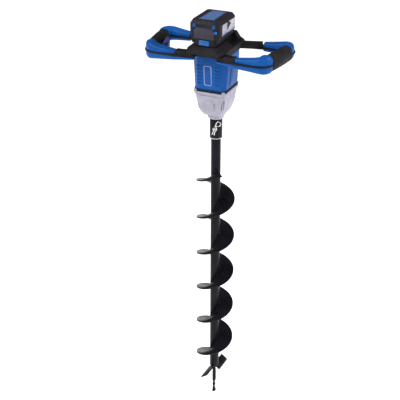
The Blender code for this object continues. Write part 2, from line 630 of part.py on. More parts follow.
def motor_housing_skin(grow):
    """The housing's outer shape, grown all round, for the pieces that close on it."""
    rings = [rounded(HOUSING_TOP_HALF + grow, HOUSING_TOP_DEPTH + grow, HOUSING_TOP_CHAMFER, HOUSING_TOP + 4),
             rounded(HOUSING_TOP_HALF + grow, HOUSING_TOP_DEPTH + grow, HOUSING_TOP_CHAMFER, HOUSING_SHOULDER),
             rounded(HOUSING_END_HALF + grow, HOUSING_END_DEPTH + grow, HOUSING_END_CHAMFER,
                     HOUSING_BOTTOM - grow)]
    return loft(rings)


def motor_housing():
    """The tapered blue case round the motor, open at both ends."""
    rings = [rounded(HOUSING_TOP_HALF, HOUSING_TOP_DEPTH, HOUSING_TOP_CHAMFER, HOUSING_TOP),
             rounded(HOUSING_TOP_HALF, HOUSING_TOP_DEPTH, HOUSING_TOP_CHAMFER, HOUSING_SHOULDER),
             rounded(HOUSING_END_HALF, HOUSING_END_DEPTH, HOUSING_END_CHAMFER, HOUSING_BOTTOM)]
    housing = loft(rings)
    top, end = HOUSING_TOP_CHAMFER - 1, HOUSING_END_CHAMFER - 1
    inner = [rounded(HOUSING_TOP_HALF - WALL, HOUSING_TOP_DEPTH - WALL, top, HOUSING_TOP - WALL - 2),
             rounded(HOUSING_TOP_HALF - WALL, HOUSING_TOP_DEPTH - WALL, top, HOUSING_SHOULDER),
             rounded(HOUSING_END_HALF - WALL, HOUSING_END_DEPTH - WALL, end, HOUSING_BOTTOM - 2)]
    cut(housing, loft(inner))
    cut(housing, block((-WIRE_WAY, -WIRE_WAY, HOUSING_TOP - 12), (WIRE_WAY, WIRE_WAY, HOUSING_TOP + 3)))
    bridge = block((-HOUSING_TOP_HALF + 2, -14, SHAFT_TOP - 5), (HOUSING_TOP_HALF - 2, 14, SHAFT_TOP + 3))
    cut(bridge, rod((0, 0, SHAFT_TOP - 8), (0, 0, SHAFT_TOP + 0.5), bore(MOTOR_BEARING_RADIUS)))
    join(housing, bridge)
    for side in (-1, 1):
        for place in (-1, 1):
            join(housing, block((side * 36 - 5.5, place * 10 - 3, STATOR_BOTTOM),
                                (side * 36 + 5.5, place * 10 + 3, STATOR_TOP)))
    cut(housing, rod((0, 0, STATOR_BOTTOM - 1), (0, 0, STATOR_TOP + 1), STATOR_RADIUS + GAP))
    return finish(housing, "motor_housing", BLUE, 0.4)


def housing_gasket():
    """The thin black joint between the housing and the gearbox."""
    high, low = HOUSING_BOTTOM - GAP, HOUSING_BOTTOM - GASKET
    gasket = loft([rounded(HOUSING_END_HALF - 0.2, HOUSING_END_DEPTH - 0.2, HOUSING_END_CHAMFER, z)
                   for z in (high, low)])
    hole = loft([rounded(HOUSING_END_HALF - 3.4, HOUSING_END_DEPTH - 3.4, 7, z) for z in (high + 2, low - 2)])
    return finish(cut(gasket, hole), "housing_gasket", BLACK, 0.6)


def gearbox_housing():
    """The grey gearbox case, from the square joint down to the round collar."""
    top = HOUSING_BOTTOM - GASKET - GAP
    skin = [rounded(HOUSING_END_HALF, HOUSING_END_DEPTH, HOUSING_END_CHAMFER, top, 3),
            *(rounded(half, depth, corner, z, 3) for half, depth, corner, z in GEARBOX_RINGS),
            rounded(COLLAR_RADIUS, COLLAR_RADIUS, COLLAR_RADIUS, GEARBOX_BOTTOM, 3)]
    case = loft(skin)
    ring_seat = RING_BOTTOM - GAP
    cut(case, loft([rounded(HOUSING_END_HALF - 4, HOUSING_END_DEPTH - 4, 6, top + 2, 2),
                    rounded(HOUSING_END_HALF - 4, HOUSING_END_DEPTH - 4, 6, PLATE_TOP - PLATE_THICK - GAP, 2)]))
    cut(case, rod((0, 0, ring_seat), (0, 0, top + 1), RING_RADIUS + GAP))
    cut(case, rod((0, 0, OUTPUT_BEARING_TOP + GAP), (0, 0, ring_seat + 1), CARRIER_RADIUS + 2))
    bearing_floor = OUTPUT_BEARING_TOP - 2 * BEARING_HEIGHT - 2 * GAP
    cut(case, rod((0, 0, bearing_floor), (0, 0, OUTPUT_BEARING_TOP + 1), bore(OUTPUT_BEARING_RADIUS)))
    cut(case, rod((0, 0, GEARBOX_BOTTOM - 2), (0, 0, bearing_floor + 1), bore(SPINDLE_RADIUS, RUNNING)))
    cut(case, rod((0, 0, GEARBOX_BOTTOM - 2), (0, 0, SEAL_TOP), bore(SEAL_RADIUS)))
    for x in (-GEARBOX_SCREW_X, GEARBOX_SCREW_X):
        for y in (-GEARBOX_SCREW_Y, GEARBOX_SCREW_Y):
            join(case, rod((x, y, top - 0.7), (x, y, PLATE_TOP - 14), BOSS_RADIUS, 12))
            cut(case, rod((x, y, top + 1), (x, y, PLATE_TOP - 22), SCREW_RADIUS + GAP, 12))
            cut(case, rod((x, y, PLATE_TOP - 12), (x, y, PLATE_TOP - 60), SCREW_HEAD + GAP, 12))
    return finish(case, "gearbox_housing", GREY, 0.45)


def gearbox_screws():
    """Four screws up through the gearbox corners."""
    for i, (x, y) in enumerate(((-1, -1), (1, -1), (1, 1), (-1, 1))):
        x, y = x * GEARBOX_SCREW_X, y * GEARBOX_SCREW_Y
        head = PLATE_TOP - 12
        screw = rod((x, y, head - 4), (x, y, head - GAP), SCREW_HEAD, 12)
        join(screw, rod((x, y, head - 1), (x, y, HOUSING_BOTTOM - GASKET - GAP - 0.4), SCREW_RADIUS, 12))
        cut(screw, rod((x, y, head - 6), (x, y, head - 2), 1.8, 6))
        finish(screw, f"gearbox_screw_{i + 1}", STEEL, 0.35, 1.0)


def gearbox_plate():
    """The plate between motor and gears, which holds the lower motor bearing."""
    cover = loft([rounded(HOUSING_END_HALF - 4 - GAP, HOUSING_END_DEPTH - 4 - GAP, 6, z, 2)
                  for z in (PLATE_TOP, PLATE_TOP - PLATE_THICK)])
    join(cover, rod((0, 0, PLATE_TOP + 4), (0, 0, PLATE_TOP - 1), MOTOR_BEARING_RADIUS + 3))
    cut(cover, rod((0, 0, PLATE_TOP + 6), (0, 0, PLATE_TOP - PLATE_THICK + 1), bore(MOTOR_BEARING_RADIUS)))
    cut(cover, rod((0, 0, PLATE_TOP + 6), (0, 0, PLATE_TOP - 9), MOTOR_BEARING_RADIUS - 3))
    for x in (-GEARBOX_SCREW_X, GEARBOX_SCREW_X):
        for y in (-GEARBOX_SCREW_Y, GEARBOX_SCREW_Y):
            cut(cover, rod((x, y, PLATE_TOP + 6), (x, y, PLATE_TOP - 9), BOSS_RADIUS + 2 * GAP, 12))
    return finish(cover, "gearbox_plate", STEEL, 0.4, 1.0)


# ---------------------------------------------------------------- motor

def bearing(outer, inner, high, name, height=BEARING_HEIGHT):
    """A shielded ball bearing as one ring, its upper shield set in."""
    rim = (outer - inner) * 0.28
    low = high - height
    inner = bore(inner)
    profile = [(outer, high), (outer, low), (inner, low), (inner, high), (inner + rim, high),
               (inner + rim, high - 0.8), (outer - rim, high - 0.8), (outer - rim, high)]
    return finish(turned(profile), name, STEEL, 0.3, 1.0)


def toothed(count, root, tip, share, phase=0.0):
    """An outline of square teeth between two radii; share is the part of a pitch a tooth takes at its tip."""
    points = []
    for i in range(count):
        middle = phase + 2 * pi * i / count
        half = pi / count
        points += [(root * cos(middle + a), root * sin(middle + a)) for a in (-half, -half * share)]
        points += [(tip * cos(middle + a), tip * sin(middle + a)) for a in (-half * share, half * share)]
        points += [(root * cos(middle + half * share), root * sin(middle + half * share))]
    return points


def motor():
    """The fixed stator, its control board, and the rotor with its shaft, sun gear and fan."""
    stator = plate([circle(STATOR_RADIUS), toothed(STATOR_SLOTS, STATOR_RADIUS - 6, STATOR_BORE, 0.72)],
                   STATOR_BOTTOM, STATOR_TOP)
    finish(stator, "stator", COPPER, 0.45, 0.6)
    board = plate([circle(30, 24), circle(SHAFT_RADIUS + 4, 16)], STATOR_TOP + 1, STATOR_TOP + 2.6)
    finish(board, "control_board", (0.02, 0.2, 0.08), 0.4)
    bearing(MOTOR_BEARING_RADIUS, SHAFT_RADIUS, SHAFT_TOP, "upper_motor_bearing", 5.0)
    bearing(MOTOR_BEARING_RADIUS, SHAFT_RADIUS, PLATE_TOP + 3.9, "lower_motor_bearing", 6.0)

    core = plate([circle(ROTOR_RADIUS), circle(bore(SHAFT_RADIUS))], STATOR_BOTTOM + 1, STATOR_TOP - 1)
    finish(core, "rotor_core", STEEL, 0.4, 1.0)
    shaft = turned([(0, SHAFT_TOP), (SHAFT_RADIUS, SHAFT_TOP),
                    (SHAFT_RADIUS, STAGE1_TOP + 1), (0, STAGE1_TOP + 1)], 24)
    join(shaft, plate([gear_outline(SUN_TEETH)], STAGE1_TOP - GEAR_HEIGHT, STAGE1_TOP + 1.5))
    finish(shaft, "rotor_shaft", STEEL, 0.3, 1.0)
    fan = rod((0, 0, FAN_BOTTOM), (0, 0, FAN_BOTTOM + 1.6), FAN_RADIUS)
    blades = plate([toothed(FAN_BLADES, 9, FAN_RADIUS - 1, 0.16)], FAN_BOTTOM + 1, FAN_TOP)
    cut(join(fan, blades), rod((0, 0, FAN_BOTTOM - 1), (0, 0, FAN_TOP + 1), bore(SHAFT_RADIUS)))
    finish(fan, "cooling_fan", BLACK, 0.5)
    hold(body("rotor_axis"), core, shaft, fan)


# ---------------------------------------------------------------- gears

def involute(base, radius):
    """The angle that an involute has turned through at a radius."""
    if radius <= base:
        return 0.0
    roll = sqrt((radius / base) ** 2 - 1)
    return roll - atan2(roll, 1)


def gear_outline(teeth, phase=0.0, inner=False):
    """An involute gear's outline, with a tooth centred on the phase angle; inner gives a ring gear's hole."""
    pitch = MODULE * teeth / 2
    base = pitch * cos(PRESSURE)
    near, far = (DEDENDUM, ADDENDUM) if not inner else (ADDENDUM, DEDENDUM)
    radii = [pitch - near * MODULE, pitch, pitch + far * MODULE]
    thin = BACKLASH / 2 / pitch * (-1 if inner else 1)
    half = pi / (2 * teeth) - thin
    flank = [(r, half + involute(base, pitch) - involute(base, r)) for r in radii]
    points = []
    # A ring gear's hole is an outline whose bulges are the spaces between its teeth
    turn = phase + (pi / teeth if inner else 0)
    for i in range(teeth):
        middle = turn + 2 * pi * i / teeth
        points += [(r * cos(middle - a), r * sin(middle - a)) for r, a in flank]
        points += [(r * cos(middle + a), r * sin(middle + a)) for r, a in reversed(flank)]
    return points


def ring_gear():
    """The fixed ring that both stages run in."""
    ring = plate([circle(RING_RADIUS, 36), gear_outline(RING_TEETH, inner=True)], RING_BOTTOM, RING_TOP)
    return finish(ring, "ring_gear", STEEL, 0.35, 1.0)


def planet_places():
    """The three planets' centres, and the angle of each."""
    reach = MODULE * (SUN_TEETH + PLANET_TEETH) / 2
    turns = [2 * pi * i / 3 for i in range(3)]
    return [(reach * cos(t), reach * sin(t), t) for t in turns]


def planets(stage, top):
    """Three planets, each on its own axis, with a space of theirs facing the sun's tooth."""
    for i, (x, y, turn) in enumerate(planet_places()):
        outline = gear_outline(PLANET_TEETH, turn + pi / PLANET_TEETH)
        gear = plate([outline, circle(bore(PLANET_PIN, FIT, 12), 12)], top - GEAR_HEIGHT, top)
        finish(gear, f"stage{stage}_planet_{i + 1}", BRASS, 0.35, 1.0)
        gear.location = (x * MM, y * MM, 0)


def carrier(top):
    """A carrier plate under three planets, with a pin up into each."""
    plate_top = top - GEAR_HEIGHT - GAP
    disc = rod((0, 0, plate_top - CARRIER_THICK), (0, 0, plate_top), CARRIER_RADIUS)
    for x, y, _ in planet_places():
        join(disc, rod((x, y, plate_top - 1), (x, y, top - 0.5), PLANET_PIN, 12))
    return disc


def gear_train():
    """Both planetary stages: carrier one drives sun two, and carrier two is the output spindle's head."""
    ring_gear()
    planets(1, STAGE1_TOP)
    planets(2, STAGE2_TOP)
    first = carrier(STAGE1_TOP)
    low = STAGE1_TOP - GEAR_HEIGHT - GAP - CARRIER_THICK
    join(first, plate([gear_outline(SUN_TEETH)], STAGE2_TOP - GEAR_HEIGHT, low + 1))
    finish(first, "stage1_carrier", STEEL, 0.35, 1.0)
    hold(body("carrier_axis"), first)
    output = carrier(STAGE2_TOP)
    low = STAGE2_TOP - GEAR_HEIGHT - GAP - CARRIER_THICK
    join(output, rod((0, 0, SOCKET_TOP - SOCKET_ROOF), (0, 0, low + 1), SPINDLE_RADIUS))
    return finish(output, "output_spindle", STEEL, 0.3, 1.0)


# ---------------------------------------------------------------- socket and drill

def drive_socket():
    """The black socket pinned to the drill, with a roof that the spindle fits into."""
    inside, collar = bore(SHAFT), bore(SPINDLE_RADIUS)
    roof = SOCKET_TOP - SOCKET_ROOF - GAP
    profile = [(SOCKET_RADIUS - 1, SOCKET_TOP), (SOCKET_RADIUS, SOCKET_TOP - 1),
               (SOCKET_RADIUS, SOCKET_BOTTOM + 2),
               (SOCKET_RADIUS - 1.5, SOCKET_BOTTOM), (inside, SOCKET_BOTTOM), (inside, roof), (collar, roof),
               (collar, SOCKET_TOP)]
    socket = turned(profile)
    cut(socket, cross_rod(bore(PIN_RADIUS, FIT, 20), 40))
    return finish(socket, "drive_socket", BLACK, 0.35)


def cross_rod(radius, reach, near=None):
    """A rod through the spindle's axis at the pin's height, along the pin."""
    way = Vector((cos(PIN_TURN), sin(PIN_TURN), 0))
    start = -reach if near is None else near
    return rod(way * start + Vector((0, 0, PIN_Z)), way * reach + Vector((0, 0, PIN_Z)), radius, 20)


def clevis_pin():
    """The pin through socket and shaft, headed at the back and drilled in front for its clip."""
    front = SOCKET_RADIUS + PIN_STAND
    back = -SOCKET_RADIUS - GAP
    pin = cross_rod(PIN_RADIUS, front, back - 3)
    join(pin, cross_rod(PIN_HEAD, back, back - 3.5))
    way = Vector((cos(PIN_TURN), sin(PIN_TURN), 0))
    side = Vector((-way.y, way.x, 0))
    spot = way * (SOCKET_RADIUS + PIN_STAND / 2) + Vector((0, 0, PIN_Z))
    lean = clip_way(side)
    cut(pin, rod(spot - lean * 8, spot + lean * 8, CLIP_WIRE + GAP, 12))
    return finish(pin, "clevis_pin", STEEL, 0.3, 1.0)


def clip_way(side):
    """The direction of the clip's straight leg, leaning down across the socket."""
    return (Vector((0, 0, -1)) * cos(radians(20)) - side * sin(radians(20))).normalized()


def r_clip():
    """A spring clip: a straight leg through the pin, a round eye above and a waved leg beside the pin."""
    way = Vector((cos(PIN_TURN), sin(PIN_TURN), 0))
    lean = clip_way(Vector((-way.y, way.x, 0)))
    out = way.cross(lean).normalized()
    spot = way * (SOCKET_RADIUS + PIN_STAND / 2) + Vector((0, 0, PIN_Z))
    step = 2 * CLIP_WIRE + 0.5
    eye_up, eye_out = -16.0, CLIP_EYE - 1.0

    def place(down, sideways, stand=0.0):
        return spot + lean * down + out * sideways + way * stand

    points = [place(CLIP_LENGTH - 20, 0), place(-10, 0)]
    for i in range(1, 11):
        t = radians(195 - 31 * i)
        points.append(place(eye_up - CLIP_EYE * sin(t), eye_out + CLIP_EYE * cos(t), step * i / 11))
    pass_by = PIN_RADIUS + CLIP_WIRE + 0.5
    points += [place(-7, 1, step), place(-3, pass_by - 1, step * 0.6),
               place(0, pass_by + 0.3), place(3, pass_by - 0.4), place(8, CLIP_WIRE * 2 + 0.8),
               place(13, CLIP_WIRE * 2 + 1.4), place(18, CLIP_WIRE * 2 + 3.4)]
    return finish(wire(points, CLIP_WIRE), "r_clip", STEEL, 0.25, 1.0)


def flight_angle(z):
    """The turn of the flight at a height."""
    return FLIGHT_START + 2 * pi * (z - FLIGHT_ZERO) / FLIGHT_PITCH


def helix_plate(low, high, start):
    """A right-handed screw plate round the shaft, from one radial edge swept up and given its thickness."""
    turn = 2 * pi * (high - low) / FLIGHT_PITCH
    build = bmesh.new()
    inner, outer = SHAFT + GAP, DRILL_RADIUS
    ends = [build.verts.new((r * cos(start), r * sin(start), low)) for r in (inner, outer)]
    build.edges.new(ends)
    obj = mesh_object(build)
    screw = obj.modifiers.new("turn", "SCREW")
    screw.angle = turn
    screw.screw_offset = (high - low) * MM
    screw.steps = screw.render_steps = max(3, round(turn / (2 * pi) * 26))
    screw.use_merge_vertices = False
    wall = obj.modifiers.new("wall", "SOLIDIFY")
    wall.thickness = FLIGHT_THICK * MM
    wall.offset = 0
    wall.use_even_offset = False
    return obj


def shaft_shape(grow=0.0):
    """The drill shaft, or a slightly larger one for what fits round its end."""
    top = SOCKET_TOP - SOCKET_ROOF - GAP - 1 + grow
    return turned([(0, top), (SHAFT - 1 + grow, top), (SHAFT + grow, top - 1), (SHAFT + grow, SHAFT_END - grow),
                   (PILOT_RADIUS + 1 + grow, CONE_END - grow), (0, CONE_END - grow)])


def cutter_blade(name, turn):
    """A flat blade on the shaft's end, its cutting edge down and forward."""
    front = BLADE_AHEAD - BLADE_WIDTH
    blade = block((1, front, -BLADE_THICK / 2), (BLADE_OUT, BLADE_AHEAD, BLADE_THICK / 2))
    for vert in blade.data.vertices:
        if vert.co.y < 0 and vert.co.z > 0:
            vert.co.y += BLADE_THICK * MM * 0.9
    blade.data.transform(Matrix.Rotation(BLADE_SLOPE, 4, "X"))
    blade.data.transform(Matrix.Rotation(turn, 4, "Z"))
    blade.data.transform(Matrix.Translation((0, 0, BLADE_Z * MM)))
    cut(blade, shaft_shape(GAP))
    cut(blade, rod((0, 0, CONE_END + 1), (0, 0, CONE_END - 30), PILOT_RADIUS + GAP + 0.1, 16))
    return finish(blade, name, STEEL, 0.4, 1.0)


def drill():
    """The drill: shaft, flight, two blades and the pilot."""
    shaft = shaft_shape()
    cut(shaft, cross_rod(bore(PIN_RADIUS, FIT, 20), 40))
    finish(shaft, "auger_shaft", BLACK, 0.25)

    flight = helix_plate(FLIGHT_BOTTOM, FLIGHT_TOP, flight_angle(FLIGHT_BOTTOM))
    finish(flight, "auger_flight", BLACK, 0.2)

    end = flight_angle(FLIGHT_BOTTOM) - BLADE_LAG
    one = cutter_blade("cutter_blade_1", end)
    two = cutter_blade("cutter_blade_2", end + pi)
    return [shaft, flight, one, two, pilot_point()]


def pilot_point():
    """A flat bar twisted into a screw point below the shaft, ending in a spade tip."""
    top, low = CONE_END - GAP, TIP + 8
    rings = []
    steps = 20
    for i in range(steps + 1):
        share = i / steps
        z = top + (low - top) * share
        turn = 2 * pi * PILOT_TWIST * max(0, share - 0.55) / 0.45 * 0.6
        flat = 1.0 if share < 0.5 else 1.0 - 0.4 * min(1, (share - 0.5) / 0.15)
        ring = []
        for k in range(8):
            a = 2 * pi * k / 8
            x, y = PILOT_RADIUS * cos(a), PILOT_RADIUS * flat * sin(a)
            ring.append((x * cos(turn) - y * sin(turn), x * sin(turn) + y * cos(turn), z))
        rings.append(ring)
    last = rings[-1]
    for spread, drop in ((1.35, 2.0), (1.2, 5.0), (0.15, 8.0)):
        rings.append([(x * spread, y * spread, low - drop) for x, y, _ in last])
    return finish(loft(rings), "pilot_point", BLACK, 0.3)


# ---------------------------------------------------------------- the whole tool

def power_head():
    handle_frame()
    handle_pieces(-1, "left")
    handle_pieces(1, "right")
    trigger(-1, "trigger")
    trigger(1, "safety_lever")
    battery_dock()
    terminal = block((-TERMINAL_HALF, RAIL_BACK - TERMINAL_LENGTH, DOCK_TOP + GAP),
                     (TERMINAL_HALF, RAIL_BACK, DOCK_TOP + RAIL_STEM + RAIL_HEAD - 0.5))
    for x in (-7.5, -2.5, 2.5, 7.5):
        slot_low = (x - 0.6, RAIL_BACK - TERMINAL_LENGTH - 1, DOCK_TOP + 3)
        cut(terminal, block(slot_low, (x + 0.6, RAIL_BACK - 4, DOCK_TOP + 12)))
    finish(terminal, "terminal_block", BLACK, 0.5)
    battery()
    motor_housing()
    housing_gasket()
    gearbox_housing()
    gearbox_screws()
    gearbox_plate()
    motor()
    bearing(OUTPUT_BEARING_RADIUS, SPINDLE_RADIUS, OUTPUT_BEARING_TOP, "output_bearing_upper")
    second = OUTPUT_BEARING_TOP - BEARING_HEIGHT - GAP
    bearing(OUTPUT_BEARING_RADIUS, SPINDLE_RADIUS, second, "output_bearing_lower")
    lip, throat = bore(SPINDLE_RADIUS, GAP), SPINDLE_RADIUS + 1.5
    seal = turned([(SEAL_RADIUS, SEAL_TOP - GAP), (SEAL_RADIUS, SEAL_TOP - SEAL_HEIGHT),
                   (throat, SEAL_TOP - SEAL_HEIGHT),
                   (lip, SEAL_TOP - GAP - 1), (throat, SEAL_TOP - GAP)])
    finish(seal, "shaft_seal", RUBBER, 0.7)


power_head()
spindle = gear_train()
socket = drive_socket()
hold(body("auger_axis"), spindle, socket, clevis_pin(), r_clip(), *drill())
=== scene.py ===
# %% [markdown]
# # A cordless earth auger, finished in Blender
# The working model of this tool already exists: a fixed frame of plain solids that sit and move where they
# should. This lesson puts the finished surfaces round that frame. The real tool has a moulded blue and black
# power head with two loop handles, a charcoal battery on top, a cast grey gearbox and a black screw drill.
# Each surface below starts from a copy of one of those solids, or is placed by numbers given in the frame's
# own axes.

# %% Load the fixed frame
import json
import math

import bpy
from mathutils import Matrix, Vector

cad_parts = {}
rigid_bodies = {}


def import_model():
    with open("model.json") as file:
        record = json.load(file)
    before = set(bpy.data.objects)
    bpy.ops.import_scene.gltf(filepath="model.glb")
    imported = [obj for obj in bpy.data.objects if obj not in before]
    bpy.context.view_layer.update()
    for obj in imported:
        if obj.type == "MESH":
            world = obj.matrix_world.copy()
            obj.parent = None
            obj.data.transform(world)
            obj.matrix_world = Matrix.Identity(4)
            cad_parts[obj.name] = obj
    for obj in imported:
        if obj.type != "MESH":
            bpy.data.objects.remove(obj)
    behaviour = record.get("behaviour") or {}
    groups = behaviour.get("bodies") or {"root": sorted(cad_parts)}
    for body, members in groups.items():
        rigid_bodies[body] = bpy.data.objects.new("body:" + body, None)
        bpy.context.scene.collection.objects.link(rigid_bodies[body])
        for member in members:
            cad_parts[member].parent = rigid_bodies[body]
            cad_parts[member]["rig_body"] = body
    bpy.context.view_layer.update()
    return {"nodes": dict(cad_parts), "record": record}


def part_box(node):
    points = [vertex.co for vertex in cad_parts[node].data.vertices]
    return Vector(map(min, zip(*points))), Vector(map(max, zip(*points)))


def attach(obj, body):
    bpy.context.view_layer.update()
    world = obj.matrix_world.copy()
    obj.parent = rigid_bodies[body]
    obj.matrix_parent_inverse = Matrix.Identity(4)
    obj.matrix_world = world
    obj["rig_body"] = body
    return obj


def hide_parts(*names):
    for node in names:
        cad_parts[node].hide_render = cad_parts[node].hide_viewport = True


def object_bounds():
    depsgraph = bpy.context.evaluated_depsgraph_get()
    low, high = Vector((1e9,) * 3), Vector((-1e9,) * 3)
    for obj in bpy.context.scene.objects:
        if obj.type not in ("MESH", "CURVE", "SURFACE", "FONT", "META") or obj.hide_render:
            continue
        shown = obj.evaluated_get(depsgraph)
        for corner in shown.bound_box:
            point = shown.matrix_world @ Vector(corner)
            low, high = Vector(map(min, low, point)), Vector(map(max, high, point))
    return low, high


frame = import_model()
MM = 0.001

# %% [markdown]
# ## Selecting by code
# An operator works on whatever is selected, just as it does by hand. These two helpers select one piece, or
# only those of its faces that pass a test, so each later step can say plainly what it works on.


# %% Selecting
def pick(*pieces):
    """Selects only these pieces and makes the first one active."""
    bpy.ops.object.select_all(action="DESELECT")
    for piece in pieces:
        piece.select_set(True)
    bpy.context.view_layer.objects.active = pieces[0]


def edit_faces(piece, wanted):
    """Opens a piece in edit mode with only the wanted faces selected."""
    pick(piece)
    bpy.ops.object.mode_set(mode="EDIT")
    bpy.ops.mesh.select_mode(type="FACE")
    bpy.ops.mesh.select_all(action="DESELECT")
    bpy.ops.object.mode_set(mode="OBJECT")
    for face in piece.data.polygons:
        face.select = wanted(face)
    bpy.ops.object.mode_set(mode="EDIT")


print("nodes in the frame:", len(frame["nodes"]))

# %% [markdown]
# ## Closing a piece
# A finished piece has its modifiers applied, its object back at the origin and its shading smooth except at
# real edges. Rounding every edge a little matters more than any texture, because moulded and cast edges are
# never sharp and each one catches a line of light.


# %% Rounding and closing
def add_modifier(piece, kind, **settings):
    """Adds one modifier with its settings."""
    modifier = piece.modifiers.new(kind.lower(), kind)
    for name, value in settings.items():
        setattr(modifier, name, value)
    return modifier


def close_piece(piece, smooth_under=40):
    """Applies a piece's modifiers and its place, and smooths it under an angle in degrees."""
    pick(piece)
    for modifier in list(piece.modifiers):
        bpy.ops.object.modifier_apply(modifier=modifier.name)
    bpy.ops.object.transform_apply(location=True, rotation=True, scale=True)
    bpy.ops.object.shade_smooth_by_angle(angle=math.radians(smooth_under))
    return piece


def round_edges(piece, width, steps=2, over=30, smooth_under=40):
    """Rounds the edges sharper than an angle by a width in millimetres, and closes the piece."""
    add_modifier(piece, "BEVEL", width=width * MM, segments=steps, limit_method="ANGLE",
                 angle_limit=math.radians(over), miter_outer="MITER_ARC")
    return close_piece(piece, smooth_under)


def cut_away(piece, other):
    """Cuts another piece out of this one, and removes the other."""
    add_modifier(piece, "BOOLEAN", operation="DIFFERENCE", object=other, solver="EXACT")
    close_piece(piece)
    bpy.data.objects.remove(other, do_unlink=True)
    return piece


print("helpers for rounding and cutting are ready")

# %% [markdown]
# ## Starting from a solid of the frame
# A plain solid of the frame has the right size already. It is made of loose triangles, so a copy is merged
# and its flat faces joined before any edge can be rounded.


# %% Copying a frame solid
MERGE = 0.01 * MM
FLAT_UNDER, QUAD_UNDER = math.radians(1.5), math.radians(18)


def copy_node(node, name, quads=False):
    """A merged copy of a frame solid: flat faces joined, or pairs of triangles turned back into quads."""
    piece = bpy.data.objects.new(name, frame["nodes"][node].data.copy())
    bpy.context.scene.collection.objects.link(piece)
    pick(piece)
    bpy.ops.mesh.customdata_custom_splitnormals_clear()
    edit_faces(piece, lambda face: True)
    bpy.ops.mesh.remove_doubles(threshold=MERGE)
    if quads:
        bpy.ops.mesh.tris_convert_to_quads(face_threshold=QUAD_UNDER, shape_threshold=math.pi)
    else:
        bpy.ops.mesh.dissolve_limited(angle_limit=FLAT_UNDER)
    bpy.ops.object.mode_set(mode="OBJECT")
    return piece


def block(name, low, high, tilt=(0, 0, 0)):
    """A box between two corners in millimetres, turned about its own middle."""
    middle = [(a + b) / 2 * MM for a, b in zip(low, high)]
    size = [(b - a) * MM for a, b in zip(low, high)]
    bpy.ops.mesh.primitive_cube_add(size=1, location=middle, rotation=tilt, scale=size)
    bpy.context.object.name = name
    bpy.ops.object.transform_apply(location=True, rotation=True, scale=True)
    return bpy.context.object


def twin(piece, name, shift=(0, 0, 0), mirror=None):
    """A copy with its own mesh, moved by millimetres or mirrored across an axis."""
    copy = bpy.data.objects.new(name, piece.data.copy())
    bpy.context.scene.collection.objects.link(copy)
    copy.data.transform(Matrix.Translation(Vector(shift) * MM))
    if mirror:
        copy.data.transform(Matrix.Scale(-1, 4, mirror))
        copy.data.flip_normals()
    return copy


def gather(name, pieces):
    """Makes one piece of several."""
    pick(*pieces)
    bpy.ops.object.join()
    pieces[0].name = name
    return pieces[0]


print("a frame solid can now be copied and merged")

# %% [markdown]
# ## How a finish is built
# Each finish is one Principled shader. What is the same all over is set on the shader's own sockets. What
# changes over the surface comes from noise on the piece's own coordinates: a slow one that shifts the colour
# and the gloss, and a fine one that gives the grain. Plastic, paint and metal differ mostly in those numbers.


# %% Building a finish
FINISHES = {}
TINT_FROM, TINT_TO, GLOSS_FROM, GLOSS_TO = 0.35, 0.65, 0.3, 0.7


def new_finish(slot, colour, roughness, metallic=0.0, specular=0.5, coat=0.0):
    """A finish with its even values on the shader's own sockets."""
    made = bpy.data.materials.new(slot)
    made.use_nodes = True
    shader = made.node_tree.nodes["Principled BSDF"]
    shader.inputs["Base Color"].default_value = (*colour, 1)
    shader.inputs["Roughness"].default_value = roughness
    shader.inputs["Metallic"].default_value = metallic
    shader.inputs["Specular IOR Level"].default_value = specular
    shader.inputs["Coat Weight"].default_value = coat
    shader.inputs["Coat Roughness"].default_value = 0.08
    made.diffuse_color = (*colour, 1)
    FINISHES[slot] = made
    return made


def pattern(made, scale, detail=2.0, stretch=(1, 1, 1), kind="ShaderNodeTexNoise"):
    """A texture on the piece's own coordinates, with its features 1/scale of a metre across."""
    nodes, links = made.node_tree.nodes, made.node_tree.links
    where = nodes.new("ShaderNodeTexCoord")
    turned = nodes.new("ShaderNodeMapping")
    turned.inputs["Scale"].default_value = stretch
    texture = nodes.new(kind)
    texture.inputs["Scale"].default_value = scale
    if "Detail" in texture.inputs:
        texture.inputs["Detail"].default_value = detail
    links.new(where.outputs["Object"], turned.inputs["Vector"])
    links.new(turned.outputs["Vector"], texture.inputs["Vector"])
    return texture.outputs["Distance" if kind == "ShaderNodeTexVoronoi" else "Fac"]


def tint(made, source, dark, light):
    """The colour runs from one shade to another as the pattern rises."""
    nodes, links = made.node_tree.nodes, made.node_tree.links
    ramp = nodes.new("ShaderNodeValToRGB")
    ramp.color_ramp.elements[0].position = TINT_FROM
    ramp.color_ramp.elements[1].position = TINT_TO
    ramp.color_ramp.elements[0].color = (*dark, 1)
    ramp.color_ramp.elements[1].color = (*light, 1)
    links.new(source, ramp.inputs["Fac"])
    links.new(ramp.outputs["Color"], nodes["Principled BSDF"].inputs["Base Color"])


def gloss(made, source, low, high):
    """The roughness runs between two values as the pattern rises."""
    nodes, links = made.node_tree.nodes, made.node_tree.links
    reach = nodes.new("ShaderNodeMapRange")
    reach.inputs["From Min"].default_value = GLOSS_FROM
    reach.inputs["From Max"].default_value = GLOSS_TO
    reach.inputs["To Min"].default_value = low
    reach.inputs["To Max"].default_value = high
    links.new(source, reach.inputs["Value"])
    links.new(reach.outputs["Result"], nodes["Principled BSDF"].inputs["Roughness"])


def grain(made, source, depth, strength=0.5):
    """The pattern raises the surface by a depth in millimetres."""
    nodes, links = made.node_tree.nodes, made.node_tree.links
    bump = nodes.new("ShaderNodeBump")
    bump.inputs["Distance"].default_value = depth * MM
    bump.inputs["Strength"].default_value = strength
    links.new(source, bump.inputs["Height"])
    links.new(bump.outputs["Normal"], nodes["Principled BSDF"].inputs["Normal"])


print("finish helpers are ready")

